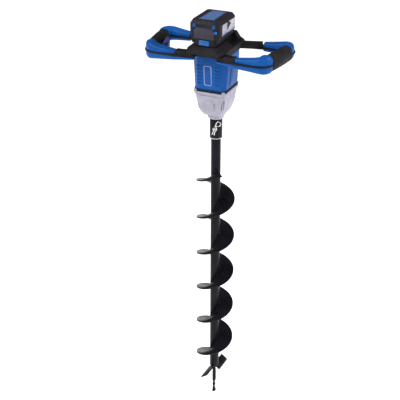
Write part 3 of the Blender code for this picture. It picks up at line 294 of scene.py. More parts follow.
# %% [markdown]
# ## The blue shells
# The handle shells and the motor case are moulded in one blue, coloured right through, from a mould with a
# fine spark-eroded grain. The grain spreads the light, so the blue looks satin and never wet. A little
# unevenness in colour and gloss keeps large faces from looking like paper.

# %% Blue shells
blue = new_finish("blue_shell", (0.002, 0.070, 0.29), 0.42, specular=0.13)
tint(blue, pattern(blue, 22, 4), (0.0015, 0.062, 0.26), (0.003, 0.080, 0.32))
gloss(blue, pattern(blue, 60, 3), 0.36, 0.5)
grain(blue, pattern(blue, 1900, 1), 0.03, 0.35)
print("finish", blue.name)

# %% [markdown]
# ## The black mouldings
# The frame between the shells, the battery dock and the motor joint are glass-filled black plastic. It is
# duller than the blue and its grain is coarser, because glass fibres lie close under the skin.

# %% Black mouldings and the joint strip
black = new_finish("black_shell", (0.011, 0.010, 0.012), 0.5, specular=0.12)
tint(black, pattern(black, 30, 4), (0.008, 0.0075, 0.009), (0.016, 0.014, 0.017))
gloss(black, pattern(black, 85, 3), 0.45, 0.66)
grain(black, pattern(black, 1300, 2), 0.05, 0.45)
joint = new_finish("gasket_black", (0.007, 0.007, 0.008), 0.6, specular=0.12)
gloss(joint, pattern(joint, 120, 2), 0.5, 0.7)
grain(joint, pattern(joint, 900, 2), 0.04, 0.4)
print("finishes", black.name, joint.name)

# %% [markdown]
# ## Grip rubber
# The grips are soft rubber moulded over a plastic core. A stippled skin of shallow cells about a millimetre
# and a half across keeps a wet glove from slipping. Voronoi cells give such dimples directly.

# %% Grip rubber
rubber = new_finish("grip_rubber", (0.012, 0.012, 0.013), 0.68, specular=0.14)
tint(rubber, pattern(rubber, 45, 4), (0.009, 0.009, 0.010), (0.018, 0.018, 0.020))
gloss(rubber, pattern(rubber, 160, 3), 0.58, 0.8)
grain(rubber, pattern(rubber, 640, kind="ShaderNodeTexVoronoi"), 0.22, 0.6)
print("finish", rubber.name)

# %% [markdown]
# ## Lever and button plastics
# The finger levers and the pack's buttons are small smooth mouldings. They are handled all day, so they
# are polished a little more than the shells and show soft reflections.

# %% Levers, buttons and the blue panel
lever_finish = new_finish("lever_plastic", (0.022, 0.036, 0.17), 0.34, specular=0.4)
tint(lever_finish, pattern(lever_finish, 70, 3), (0.019, 0.031, 0.15), (0.027, 0.042, 0.19))
gloss(lever_finish, pattern(lever_finish, 200, 2), 0.28, 0.42)
grain(lever_finish, pattern(lever_finish, 2200, 1), 0.02, 0.3)
button = new_finish("button_blue", (0.008, 0.11, 0.36), 0.3, specular=0.3)
tint(button, pattern(button, 90, 3), (0.006, 0.10, 0.33), (0.010, 0.125, 0.40))
gloss(button, pattern(button, 260, 2), 0.24, 0.38)
grain(button, pattern(button, 2400, 1), 0.02, 0.3)
panel = new_finish("battery_panel", (0.055, 0.12, 0.28), 0.4, specular=0.4)
tint(panel, pattern(panel, 60, 4), (0.048, 0.105, 0.25), (0.064, 0.135, 0.31))
gloss(panel, pattern(panel, 180, 3), 0.32, 0.5)
grain(panel, pattern(panel, 1500, 2), 0.03, 0.35)
print("finishes", lever_finish.name, button.name, panel.name)

# %% [markdown]
# ## The battery's plastics
# The pack is moulded in charcoal, with a lighter grey front panel. Its side labels are silver film: a smooth
# layer that reflects softly, with the faint waviness of a film pressed on by hand. They carry no lettering.

# %% Battery case, panel and label film
charcoal = new_finish("battery_shell", (0.014, 0.0125, 0.018), 0.44, specular=0.12)
tint(charcoal, pattern(charcoal, 40, 4), (0.012, 0.011, 0.015), (0.019, 0.017, 0.024))
gloss(charcoal, pattern(charcoal, 120, 3), 0.42, 0.6)
grain(charcoal, pattern(charcoal, 1500, 2), 0.04, 0.4)
slate = new_finish("front_panel_grey", (0.036, 0.034, 0.053), 0.48, specular=0.15)
tint(slate, pattern(slate, 50, 4), (0.032, 0.030, 0.047), (0.042, 0.040, 0.061))
gloss(slate, pattern(slate, 150, 3), 0.42, 0.58)
grain(slate, pattern(slate, 1500, 2), 0.04, 0.4)
film = new_finish("label_film", (0.36, 0.34, 0.40), 0.26, metallic=0.15)
tint(film, pattern(film, 35, 3), (0.30, 0.28, 0.345), (0.43, 0.41, 0.465))
gloss(film, pattern(film, 90, 3), 0.22, 0.38)
grain(film, pattern(film, 55, 2), 0.25, 0.25)
print("finishes", charcoal.name, slate.name, film.name)

# %% [markdown]
# ## Cast grey gearbox
# The gearbox is cast alloy, shot-blasted and sprayed pale grey. Blasting leaves fine round dents, and the
# thin paint follows them, so the surface is dull with a tight even texture.

# %% Cast and sprayed grey
cast = new_finish("gearbox_grey", (0.33, 0.315, 0.39), 0.48, specular=0.3)
tint(cast, pattern(cast, 28, 5), (0.295, 0.28, 0.35), (0.365, 0.35, 0.425))
gloss(cast, pattern(cast, 110, 3), 0.42, 0.58)
grain(cast, pattern(cast, 850, kind="ShaderNodeTexVoronoi"), 0.08, 0.45)
print("finish", cast.name)

# %% [markdown]
# ## The drill's black enamel
# The whole drill is dipped in gloss black enamel. Thick enamel dries with a slow wave called orange peel and
# a clear outer skin, so a thin coat layer sits over a darker, slightly rougher base. The blades have the same
# enamel, worn thin, and a bluer look.

# %% Black enamel and blade coat
enamel = new_finish("drill_black", (0.006, 0.0055, 0.008), 0.24, specular=0.09, coat=0.03)
tint(enamel, pattern(enamel, 26, 5), (0.005, 0.0045, 0.0065), (0.009, 0.008, 0.012))
gloss(enamel, pattern(enamel, 70, 4), 0.18, 0.34)
grain(enamel, pattern(enamel, 260, 2), 0.10, 0.3)
blade_coat = new_finish("blade_steel", (0.010, 0.009, 0.013), 0.34, metallic=0.1, specular=0.1)
tint(blade_coat, pattern(blade_coat, 60, 5), (0.008, 0.007, 0.010), (0.018, 0.017, 0.022))
gloss(blade_coat, pattern(blade_coat, 140, 4), 0.28, 0.5)
grain(blade_coat, pattern(blade_coat, 500, 3), 0.05, 0.4)
print("finishes", enamel.name, blade_coat.name)

# %% [markdown]
# ## Bright metals
# Turned steel shows fine rings from the tool, so its noise is stretched along one axis. The zinc on the clip
# is brighter and smoother. The gears are sintered, which leaves a dull, slightly yellow metal.

# %% Steel, zinc and gear metal
steel = new_finish("steel", (0.46, 0.46, 0.47), 0.32, metallic=1.0)
tint(steel, pattern(steel, 90, 4, (1, 1, 6)), (0.38, 0.38, 0.39), (0.54, 0.54, 0.55))
gloss(steel, pattern(steel, 160, 3, (1, 1, 8)), 0.24, 0.42)
grain(steel, pattern(steel, 700, 2, (1, 1, 9)), 0.02, 0.3)
zinc = new_finish("zinc_wire", (0.68, 0.68, 0.70), 0.22, metallic=1.0)
tint(zinc, pattern(zinc, 200, 3), (0.58, 0.58, 0.60), (0.76, 0.76, 0.78))
gloss(zinc, pattern(zinc, 400, 3), 0.16, 0.34)
gear_metal = new_finish("brass", (0.45, 0.36, 0.20), 0.42, metallic=1.0)
tint(gear_metal, pattern(gear_metal, 150, 4), (0.38, 0.30, 0.17), (0.52, 0.42, 0.24))
gloss(gear_metal, pattern(gear_metal, 300, 3), 0.34, 0.52)
print("finishes", steel.name, zinc.name, gear_metal.name)

# %% [markdown]
# ## What is inside
# The windings, the circuit board and the battery cells are hidden, but a reader who opens the model should
# find them finished. Lacquered copper is banded by its turns, the board has a green mask over its copper,
# and the cells wear a shrunk sleeve.

# %% Windings, board and cell sleeve
winding = new_finish("winding", (0.36, 0.12, 0.035), 0.32, metallic=0.6)
tint(winding, pattern(winding, 120, 4, (1, 1, 5)), (0.28, 0.09, 0.025), (0.44, 0.16, 0.05))
grain(winding, pattern(winding, 900, 1, (1, 1, 7)), 0.05, 0.5)
board = new_finish("board", (0.012, 0.10, 0.045), 0.35)
tint(board, pattern(board, 240, 4), (0.010, 0.085, 0.038), (0.018, 0.13, 0.06))
gloss(board, pattern(board, 300, 2), 0.28, 0.45)
sleeve = new_finish("cell_sleeve", (0.03, 0.16, 0.09), 0.4)
tint(sleeve, pattern(sleeve, 80, 3), (0.025, 0.14, 0.08), (0.036, 0.18, 0.10))
gloss(sleeve, pattern(sleeve, 160, 3), 0.3, 0.5)
for entry in frame["record"]["subparts"]:
    node = frame["nodes"][entry["node"]]
    node.data.materials.clear()
    node.data.materials.append(FINISHES[entry["material_slot"]])
print("finishes made:", len(FINISHES))

# %% [markdown]
# ## Setting a piece in place
# A finished piece rides on the body that carries its frame solid, so the levers pull, the pack slides and
# the drill turns with everything on them. It also hides the frame solids it stands for.


# %% Mounting a piece
def mount(piece, slot, node, stands_for=(), finish=None):
    """Gives a piece its finish, and sets it on the body that carries a frame node."""
    piece.data.materials.clear()
    piece.data.materials.append(finish or FINISHES[slot])
    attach(piece, frame["nodes"][node]["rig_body"])
    if stands_for:
        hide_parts(*stands_for)
    print(piece.name, "has", len(piece.data.polygons), "faces")
    return piece


# %% [markdown]
# ## Handle shells
# Each handle has four blue half shells: one above and one below the black frame at its front corner, and
# the same at its back corner. They are soft tubes bent round a corner. The frame has them with flat facets,
# so the copy goes back to quads, its seam edges are held by a small bevel, and one level of subdivision
# makes the rest flow.

# %% Eight corner shells
for side in ("left", "right"):
    for place in ("front_upper", "front_lower", "rear_upper", "rear_lower"):
        node = f"{side}_{place}_shell"
        shell = copy_node(node, f"{side}_{place}_cover", quads=True)
        add_modifier(shell, "BEVEL", width=0.7 * MM, segments=2, limit_method="ANGLE",
                     angle_limit=math.radians(50))
        add_modifier(shell, "SUBSURF", levels=1, render_levels=1)
        mount(close_piece(shell, 50), "blue_shell", node, [node])

# %% [markdown]
# ## Rubber grips
# A grip is an oval sleeve, a little fuller in the middle, with two pressed grooves at each end where the
# rubber is locked to its core. It grows from one circle, pushed along the handle a ring at a time and scaled
# at every step, which is how a profile is swept by hand.

# %% Two grips
GRIP_START = Vector((150.16, -48.65, 0)) * MM
GRIP_END = Vector((163.24, 44.26, 0)) * MM
GRIP_HALF = (18.0, 21.0)
RINGS = [(0.0, 0.91), (0.015, 0.945), (0.06, 0.955), (0.068, 0.92), (0.088, 0.92), (0.096, 0.965),
         (0.13, 0.97), (0.138, 0.935), (0.158, 0.935), (0.166, 0.98), (0.3, 0.995), (0.5, 1.0)]
RINGS += [(1 - share, size) for share, size in reversed(RINGS[:-1])]


def swept_grip(name, start, end):
    """An oval sleeve from start to end through the rings."""
    along = end - start
    bpy.ops.mesh.primitive_circle_add(
        vertices=56, radius=RINGS[0][1] * MM, fill_type="NGON", location=start,
        rotation=(math.pi / 2, 0, math.atan2(along.y, along.x) - math.pi / 2))
    piece = bpy.context.object
    piece.name = name
    piece.scale = (*GRIP_HALF, 1)
    bpy.ops.object.transform_apply(location=True, rotation=True, scale=True)
    edit_faces(piece, lambda face: True)
    for (was, before), (share, size) in zip(RINGS, RINGS[1:]):
        step = along * (share - was)
        bpy.ops.mesh.extrude_region_move(TRANSFORM_OT_translate={"value": step})
        scale = size / before
        bpy.ops.transform.resize(value=(scale, scale, scale), center_override=start + along * share)
    bpy.ops.mesh.select_all(action="SELECT")
    bpy.ops.mesh.normals_make_consistent(inside=False)
    bpy.ops.object.mode_set(mode="OBJECT")
    return round_edges(piece, 0.5, 2, 25, 50)


for side, sign in (("left", -1), ("right", 1)):
    mirror = Vector((sign, 1, 1))
    grip = swept_grip(f"{side}_grip_sleeve", GRIP_START * mirror, GRIP_END * mirror)
    mount(grip, "grip_rubber", f"{side}_grip", [f"{side}_grip"])

# %% [markdown]
# ## Black frame
# One flat black moulding runs right round both hand openings and under the dock. Its rim shows as the dark
# line between the blue shells. Only its edges need work.

# %% Handle frame
handle = round_edges(copy_node("handle_frame", "handle_spine"), 0.7, 2, 35)
mount(handle, "black_shell", "handle_frame", ["handle_frame"])

# %% [markdown]
# ## Finger levers
# The trigger is on the left grip, and a shorter lever that must also be held is on the right one. Each is
# a curved tongue, pressed towards the grip by the fingers. The frame's own shape is kept, and only its
# shading is made smooth.

# %% Trigger and second lever
for node, name in (("trigger", "trigger_tongue"), ("safety_lever", "hold_tongue")):
    tongue = close_piece(copy_node(node, name), 60)
    mount(tongue, "lever_plastic", node, [node])

# %% [markdown]
# ## Battery dock
# The dock is a sloping black base with a raised lip in front and a wall behind the pack. Its sides are
# stiffened by short fins. One fin is shaped from a block by dropping its outer top edge on to the slope, and
# the rest are copies.

# %% Dock and its fins
dock = round_edges(copy_node("battery_dock", "dock_base"), 1.3, 3, 25)
mount(dock, "black_shell", "battery_dock", ["battery_dock"])
FIN_PITCH, FIN_THICK, FIN_COUNT = 9.0, 2.2, 6
SLOPE_OUT, SLOPE_IN, SLOPE_LOW, SLOPE_HIGH = 49.5, 33.0, 21.5, 30.5
fin = block("fin", (SLOPE_IN, -8, 14), (SLOPE_OUT, -8 + FIN_THICK, SLOPE_HIGH + 1))
edit_faces(fin, lambda face: False)
bpy.ops.mesh.select_mode(type="EDGE")
bpy.ops.object.mode_set(mode="OBJECT")
for edge in fin.data.edges:
    ends = [fin.data.vertices[i].co for i in edge.vertices]
    edge.select = all(end.x > SLOPE_OUT * MM - MERGE and end.z > SLOPE_HIGH * MM for end in ends)
bpy.ops.object.mode_set(mode="EDIT")
bpy.ops.transform.translate(value=(0, 0, (SLOPE_LOW - SLOPE_HIGH) * MM))
bpy.ops.object.mode_set(mode="OBJECT")
round_edges(fin, 0.5)
fins = [twin(fin, f"fin_{i}", (0, FIN_PITCH * i, 0)) for i in range(1, FIN_COUNT)]
fins = gather("right_dock_fins", [fin, *fins])
others = twin(fins, "left_dock_fins", mirror=Vector((1, 0, 0)))
for piece in (fins, others):
    mount(piece, "black_shell", "battery_dock")

# %% [markdown]
# ## Battery case
# Two charcoal shells make the pack. The upper one has a lighter front panel between two narrow grooves, and
# cooling slots at the back. Slots are cut as real hollows, because only depth gives them a dark inside.

# %% Battery shells
pack_low, pack_high = (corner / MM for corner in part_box("battery_upper_case"))
cover = copy_node("battery_upper_case", "pack_cover")
round_edges(cover, 1.6, 3, 22)
SLOT_COUNT, SLOT_PITCH, SLOT_HIGH = 5, 6.0, 2.4
SLOT_START, SLOT_X, SLOT_DEEP = 56, 20, 1.6
for i in range(SLOT_COUNT):
    low = SLOT_START + SLOT_PITCH * i
    slot = block("slot", (-SLOT_X, pack_high.y - SLOT_DEEP, low), (SLOT_X, pack_high.y + 2, low + SLOT_HIGH))
    cut_away(cover, slot)
GROOVE_X, GROOVE_HALF, GROOVE_DEEP, GROOVE_LOW, GROOVE_HIGH = 27.5, 0.6, 0.9, 50, 84
for x in (-GROOVE_X, GROOVE_X):
    groove = block("groove", (x - GROOVE_HALF, pack_low.y - 2, GROOVE_LOW),
                   (x + GROOVE_HALF, pack_low.y + GROOVE_DEEP, GROOVE_HIGH))
    cut_away(cover, groove)
mount(cover, "battery_shell", "battery_upper_case", ["battery_upper_case"])
tray = round_edges(copy_node("battery_lower_case", "pack_tray"), 1.0, 3, 25)
mount(tray, "battery_shell", "battery_lower_case", ["battery_lower_case"])

# %% [markdown]
# The front panel is a thin plate with rounded corners that stands just proud of the case. A bevel of the
# four edges through its thickness comes first, and a finer one for the rim after it.


# %% Plates with rounded corners
def plate(name, low, high, corner, axis, rim=0.3, tilt=(0, 0, 0)):
    """A thin plate between two corners in millimetres, its corners rounded round an axis."""
    piece = block(name, low, high, tilt)
    middle = sum((Vector(corner_at) for corner_at in (low, high)), Vector()) / 2 * MM
    turn = Matrix.Rotation(tilt[0], 3, "X") @ Matrix.Rotation(tilt[1], 3, "Y")
    way = turn @ Vector((axis == 0, axis == 1, axis == 2))
    edit_faces(piece, lambda face: False)
    bpy.ops.mesh.select_mode(type="EDGE")
    bpy.ops.object.mode_set(mode="OBJECT")
    for edge in piece.data.edges:
        a, b = (piece.data.vertices[i].co - middle for i in edge.vertices)
        edge.select = abs((a - b).normalized().dot(way)) > 0.99
    bpy.ops.object.mode_set(mode="EDIT")
    bpy.ops.mesh.bevel(offset=corner * MM, segments=5, affect="EDGES")
    bpy.ops.object.mode_set(mode="OBJECT")
    return round_edges(piece, rim, 2, 50)


front = pack_low.y
face_plate = plate("pack_front_plate", (-25.5, front - 0.6, 48.5), (25.5, front + 0.8, 75.5), 2.5, 1)
mount(face_plate, "battery_shell", "battery_upper_case", finish=slate)

# %% [markdown]
# ## Blue tabs, labels and top panel
# Two small blue latches sit at the upper front corners, each over a dark finger pocket. The sides carry
# silver film with a dark wedge, which points back and crosses the film's upper edge, and a thin blue line
# below. The top panel is steel blue, with a row of short dark dashes along each side edge.

# %% Small parts of the pack
WELL_RADIUS, WELL_DEPTH, WELL_X, WELL_Z = 3.4, 1.6, 27.5, 41.5
WEDGE_RADIUS, WEDGE_Y, WEDGE_DROP = 15, -20, 6.9
for side, sign in (("left", -1), ("right", 1)):
    x = sign * 25.0
    tab = plate(f"{side}_pack_tab", (x - 3.6, front - 1.2, 75.5), (x + 3.6, front + 0.6, 84), 1.6, 1)
    mount(tab, "blue_shell", "battery_upper_case")
    pocket = plate(f"{side}_tab_pocket", (x - 2.6, front - 0.9, 70.5), (x + 2.6, front + 0.4, 76.2), 1.4, 1)
    mount(pocket, "gasket_black", "battery_upper_case")
    bpy.ops.mesh.primitive_cylinder_add(vertices=32, radius=WELL_RADIUS * MM, depth=WELL_DEPTH * MM,
                                        rotation=(math.pi / 2, 0, 0),
                                        location=(sign * WELL_X * MM, front * MM, WELL_Z * MM))
    screw_well = bpy.context.object
    screw_well.name = f"{side}_pack_screw_well"
    bpy.ops.object.transform_apply(location=True, rotation=True, scale=True)
    edit_faces(screw_well, lambda face: face.normal.y < -0.9)
    bpy.ops.mesh.inset(thickness=1.0 * MM)
    bpy.ops.transform.translate(value=(0, 0.7 * MM, 0))
    bpy.ops.object.mode_set(mode="OBJECT")
    mount(round_edges(screw_well, 0.2), "gasket_black", "battery_lower_case")

    node = f"battery_label_{side}"
    low, high = (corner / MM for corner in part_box(node))
    label = round_edges(copy_node(node, f"{side}_label_film"), 0.3)
    mount(label, "label_film", node, [node])
    outer = high.x if sign > 0 else low.x
    xs = sorted((outer - sign * 0.4, outer + sign * 0.35))
    wedge_at = ((xs[0] + xs[1]) / 2 * MM, WEDGE_Y * MM, (high.z - WEDGE_DROP) * MM)
    bpy.ops.mesh.primitive_cylinder_add(vertices=3, radius=WEDGE_RADIUS * MM, depth=(xs[1] - xs[0]) * MM,
                                        location=wedge_at, rotation=(0, math.pi / 2, 0))
    wedge = bpy.context.object
    wedge.name = f"{side}_label_wedge"
    wedge.scale = (0.9, 1.0, 1.0)
    bpy.ops.object.transform_apply(location=True, rotation=True, scale=True)
    round_edges(wedge, 0.3)
    mount(wedge, "battery_shell", node)
    stripe = block(f"{side}_label_stripe", (xs[0], low.y + 1, low.z + 0.6), (xs[1], high.y - 1, low.z + 2.4))
    mount(round_edges(stripe, 0.25), "button_blue", node)

# %% Top panel and its dashes
low, high = (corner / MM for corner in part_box("battery_top_panel"))
lid = round_edges(copy_node("battery_top_panel", "pack_top_panel"), 0.3)
mount(lid, "battery_panel", "battery_top_panel", ["battery_top_panel"])
DASHES, DASH_PITCH = 9, 8.0
dash = block("dash", (high.x - 3.8, low.y + 3, high.z - 0.3), (high.x + 0.6, low.y + 7.2, high.z + 0.3))
round_edges(dash, 0.2)
row = [twin(dash, f"dash_{i}", (0, DASH_PITCH * i, 0)) for i in range(1, DASHES)]
row = gather("right_panel_dashes", [dash, *row])
other_row = twin(row, "left_panel_dashes", mirror=Vector((1, 0, 0)))
for piece in (row, other_row):
    mount(piece, "gasket_black", "battery_top_panel")

# %% [markdown]
# ## Pack buttons
# The release button has three ridges for the thumb. The small square one beside it lights the charge
# lamps. Both slide inwards, so both are their own pieces.

# %% Release and charge buttons
low, high = (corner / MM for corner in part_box("battery_release_button"))
release = round_edges(copy_node("battery_release_button", "release_key"), 0.4)
ridges = [block(f"ridge_{i}", (-9, low.y - 0.5, low.z + z), (9, low.y + 0.8, low.z + z + 1.2))
          for i, z in enumerate((3, 5.8, 8.6))]
release = gather("release_key", [release, *(round_edges(ridge, 0.4) for ridge in ridges)])
mount(release, "button_blue", "battery_release_button", ["battery_release_button"])
gauge = round_edges(copy_node("battery_gauge_button", "charge_key"), 0.3)
mount(gauge, "button_blue", "battery_gauge_button", ["battery_gauge_button"])

# %% [markdown]
# ## Motor case
# The blue motor case narrows downwards by about four degrees. Its front has a blank name plate with a
# bright rim, and a column of embossed chevrons on either side of it. Its sides have a raised panel. All of
# these lie on sloping faces, so each is turned by the slope of its face.

# %% Case and its raised parts
CASE_TOP, CASE_END, CASE_SHOULDER, CASE_FOOT = (46.0, 51.0), (40.5, 45.5), -15.0, -91.0
FALL = CASE_SHOULDER - CASE_FOOT
LEAN = math.atan((CASE_TOP[1] - CASE_END[1]) / FALL)


def case_face(z, axis):
    """How far the case's front, or its side, stands from the axis at a height."""
    return CASE_TOP[axis] - (CASE_TOP[axis] - CASE_END[axis]) * (CASE_SHOULDER - z) / FALL


case = round_edges(copy_node("motor_housing", "motor_case"), 1.4, 3, 20)
mount(case, "blue_shell", "motor_housing", ["motor_housing"])

PLATE_X, PLATE_HALF, PLATE_LOW, PLATE_HIGH = -2.0, 10.0, -76.0, -25.0
face_y = -case_face((PLATE_LOW + PLATE_HIGH) / 2, 1)
rim = plate("name_plate_rim", (PLATE_X - PLATE_HALF, face_y - 0.9, PLATE_LOW),
            (PLATE_X + PLATE_HALF, face_y + 1.2, PLATE_HIGH), 4, 1, tilt=(LEAN, 0, 0))
mount(rim, "label_film", "motor_housing")
name_plate = plate("name_plate", (PLATE_X - PLATE_HALF + 1.5, face_y - 1.2, PLATE_LOW + 1.5),
                   (PLATE_X + PLATE_HALF - 1.5, face_y + 1, PLATE_HIGH - 1.5), 3, 1, tilt=(LEAN, 0, 0))
mount(name_plate, "blue_shell", "motor_housing")

# %% Chevrons and side panels
CHEVRONS, CHEVRON_PITCH, CHEVRON_TURN = 6, 9.0, math.radians(32)
marks = []
for i in range(CHEVRONS):
    z = PLATE_HIGH - 3 - CHEVRON_PITCH * i
    y = -case_face(z, 1)
    for x in (-24.0, 22.0):
        for half, turn in ((-1, CHEVRON_TURN), (1, -CHEVRON_TURN)):
            middle = x + half * 3.2
            mark = block(f"mark_{len(marks)}", (middle - 4.0, y - 1.3, z - 1.5),
                         (middle + 4.0, y + 0.9, z + 1.5), (LEAN, turn, 0))
            marks.append(round_edges(mark, 0.4))
marks = gather("case_chevrons", marks)
mount(marks, "blue_shell", "motor_housing")
SIDE_LOW, SIDE_HIGH = -84.0, -24.0
side_x = case_face((SIDE_LOW + SIDE_HIGH) / 2, 0)
side_panel = plate("right_case_panel", (side_x - 1.5, -14, SIDE_LOW), (side_x + 1.1, 32, SIDE_HIGH), 5, 0,
                   rim=0.6, tilt=(0, LEAN, 0))
other_panel = twin(side_panel, "left_case_panel", mirror=Vector((1, 0, 0)))
for piece in (side_panel, other_panel):
    mount(piece, "blue_shell", "motor_housing")

# %% [markdown]
# ## The black joint
# A black strip closes the motor case on the gearbox. Along its upper side is a comb of small dark air
# teeth, which reads as a dashed line from a distance. The same small block is set again and again along
# the four faces.

# %% Joint strip and its teeth
strip = round_edges(copy_node("housing_gasket", "joint_strip"), 0.25, 1, 40)
mount(strip, "gasket_black", "housing_gasket", ["housing_gasket"])
TOOTH, TOOTH_PITCH, TOOTH_HIGH, TOOTH_DEEP = 2.5, 4.4, 4.4, 0.8
half_x, half_y = case_face(CASE_FOOT + 1, 0), case_face(CASE_FOOT + 1, 1)
teeth = []
for count, face in ((15, 0), (18, 1)):
    for i in range(count):
        along = (i - (count - 1) / 2) * TOOTH_PITCH
        wide = (along - TOOTH / 2, along + TOOTH / 2)
        out = half_y if face == 0 else half_x
        for sign in (-1, 1):
            deep = sorted((sign * (out - TOOTH_DEEP), sign * (out + TOOTH_DEEP)))
            xs, ys = (wide, deep) if face == 0 else (deep, wide)
            teeth.append(block(f"tooth_{len(teeth)}", (xs[0], ys[0], CASE_FOOT - 0.2),
                               (xs[1], ys[1], CASE_FOOT + TOOTH_HIGH)))
comb = round_edges(gather("joint_comb", teeth), 0.15, 1)
mount(comb, "gasket_black", "housing_gasket")

# %% [markdown]
# ## Gearbox
# The casting starts square under the joint and closes to a round collar. A lip runs round its top, hollowed
# so that it only skirts the casting. Four lugs stand at the corners with a ridge below each, and the front
# and the back both have a raised shield with a tongue below it. All of these are pieces set into the case.

# %% Gearbox case
gearbox = copy_node("gearbox_housing", "gear_case")
round_edges(gearbox, 0.9, 2, 45, 50)
mount(gearbox, "gearbox_grey", "gearbox_housing", ["gearbox_housing"])
lip_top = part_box("gearbox_housing")[1].z / MM
LIP_HIGH, LIP_PROUD, LIP_WALL = 6.5, 0.9, 4.0
lip = plate("gear_case_lip", (-CASE_END[0] - LIP_PROUD, -CASE_END[1] - LIP_PROUD, lip_top - LIP_HIGH),
            (CASE_END[0] + LIP_PROUD, CASE_END[1] + LIP_PROUD, lip_top - 0.2), 9, 2, rim=0.9)
hollow = plate("hollow", (-CASE_END[0] + LIP_WALL, -CASE_END[1] + LIP_WALL, lip_top - 12),
               (CASE_END[0] - LIP_WALL, CASE_END[1] - LIP_WALL, lip_top + 3), 6, 2)
mount(cut_away(lip, hollow), "gearbox_grey", "gearbox_housing")

# %% Shield, tongue, ridges and corner lugs
SHIELD_LEAN = math.radians(7.4)


def strut(name, start, end, width, depth):
    """A straight bar between two points in millimetres."""
    start, end = Vector(start) * MM, Vector(end) * MM
    bpy.ops.mesh.primitive_cube_add(size=1, location=(start + end) / 2)
    bar = bpy.context.object
    bar.name = name
    bar.scale = (width * MM, depth * MM, (end - start).length)
    bar.rotation_euler = (end - start).to_track_quat("Z", "Y").to_euler()
    return close_piece(bar)


shield = plate("gear_case_shield", (-25, -44.9, -122), (26, -40.5, -104), 5, 1, rim=0.7,
               tilt=(SHIELD_LEAN, 0, 0))
tongue = plate("gear_case_tongue", (-10, -44.0, -139), (12, -38.5, -116), 5, 1, rim=0.7,
               tilt=(SHIELD_LEAN, 0, 0))
for piece in (shield, tongue):
    mount(piece, "gearbox_grey", "gearbox_housing")
    other = twin(piece, piece.name.replace("gear_case", "gear_case_back"), mirror=Vector((0, 1, 0)))
    mount(other, "gearbox_grey", "gearbox_housing")
ridge = round_edges(strut("ridge", (35.4, -40.4, -104), (30.2, -35.2, -142), 2.6, 2.6), 0.8)
ridges = [ridge, twin(ridge, "ridge_2", mirror=Vector((1, 0, 0)))]
ridges += [twin(piece, f"{piece.name}_back", mirror=Vector((0, 1, 0))) for piece in ridges]
mount(gather("gear_case_ridges", ridges), "gearbox_grey", "gearbox_housing")
lug = plate("lug", (32.5, -46.2, -97.0), (40.8, -38.5, -89.8), 3, 2, rim=0.7)
lugs = [lug, twin(lug, "lug_2", mirror=Vector((1, 0, 0)))]
lugs += [twin(piece, f"{piece.name}_back", mirror=Vector((0, 1, 0))) for piece in lugs]
mount(gather("gear_case_lugs", lugs), "gearbox_grey", "gearbox_housing")

# %% [markdown]
# ## Drive socket, pin and clip
# The black socket has a bright steel ring at its mouth. The ring is a painted highlight for the line of light
# that its rounded lower edge catches.
# A clevis pin crosses it, and a sprung wire clip with a round eye keeps the pin in.

# %% Socket, pin and clip
socket = round_edges(copy_node("drive_socket", "socket_sleeve"), 0.5, 2, 30)
mount(socket, "drill_black", "drive_socket", ["drive_socket"])
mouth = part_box("drive_socket")[0].z
SOCKET_RADIUS, SOCKET_BORE = 16.0, 12.9
# This ring's steel colour is painted highlight: the socket's lower edge is black like the rest of the socket
# and only catches light.
bpy.ops.mesh.primitive_cylinder_add(vertices=72, radius=(SOCKET_RADIUS + 0.25) * MM, depth=2.2 * MM,
                                    location=(0, 0, mouth + 0.9 * MM))
painted_highlight_ring = bpy.context.object
painted_highlight_ring.name = "socket_mouth_ring"
bpy.ops.mesh.primitive_cylinder_add(vertices=72, radius=SOCKET_BORE * MM, depth=9 * MM,
                                    location=(0, 0, mouth))
cut_away(painted_highlight_ring, bpy.context.object)
mount(round_edges(painted_highlight_ring, 0.3), "steel", "drive_socket")
pin = round_edges(copy_node("clevis_pin", "cross_pin"), 0.3, 2, 30)
mount(pin, "steel", "clevis_pin", ["clevis_pin"])
clip = copy_node("r_clip", "spring_clip", quads=True)
add_modifier(clip, "SUBSURF", levels=1, render_levels=1)
mount(close_piece(clip, 60), "zinc_wire", "r_clip", ["r_clip"])

# %% [markdown]
# ## Drill shaft
# The shaft is a steel tube whose foot is drawn in to a cone. It starts as a cylinder with many sides, and
# the cone is its lower face pushed down and made smaller.

# %% Shaft
SHAFT_RADIUS, SHAFT_FOOT, CONE_FOOT, CONE_RADIUS = 12.5, -927.0, -935.0, 6.8
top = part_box("auger_shaft")[1].z / MM
bpy.ops.mesh.primitive_cylinder_add(vertices=80, radius=SHAFT_RADIUS * MM, depth=(top - SHAFT_FOOT) * MM,
                                    location=(0, 0, (top + SHAFT_FOOT) / 2 * MM))
shaft = bpy.context.object
shaft.name = "drill_tube"
bpy.ops.object.transform_apply(location=True, rotation=True, scale=True)
edit_faces(shaft, lambda face: face.normal.z < -0.9)
bpy.ops.mesh.extrude_region_move(TRANSFORM_OT_translate={"value": (0, 0, (CONE_FOOT - SHAFT_FOOT) * MM)})
shrink = CONE_RADIUS / SHAFT_RADIUS
bpy.ops.transform.resize(value=(shrink, shrink, 1), center_override=(0, 0, CONE_FOOT * MM))
bpy.ops.object.mode_set(mode="OBJECT")
mount(round_edges(shaft, 0.8, 3, 25), "drill_black", "auger_shaft", ["auger_shaft"])

# %% [markdown]
# ## Screw flight
# The flight is one strip of plate wound round the shaft. A single radial edge turned by a Screw modifier
# gives the surface, Solidify gives it the plate's thickness and a bevel takes off its sharp rim. Many steps
# in each turn keep the rim round.

# %% Flight
PITCH, FLIGHT_LOW, FLIGHT_HIGH, FLIGHT_RADIUS, FLIGHT_THICK = 106.9, -915.0, -315.5, 50.0, 4.0
LEVEL_TURN, LEVEL_Z, SHAFT_GAP, TURN_STEPS = math.radians(26.7), -400.2, 0.1, 84


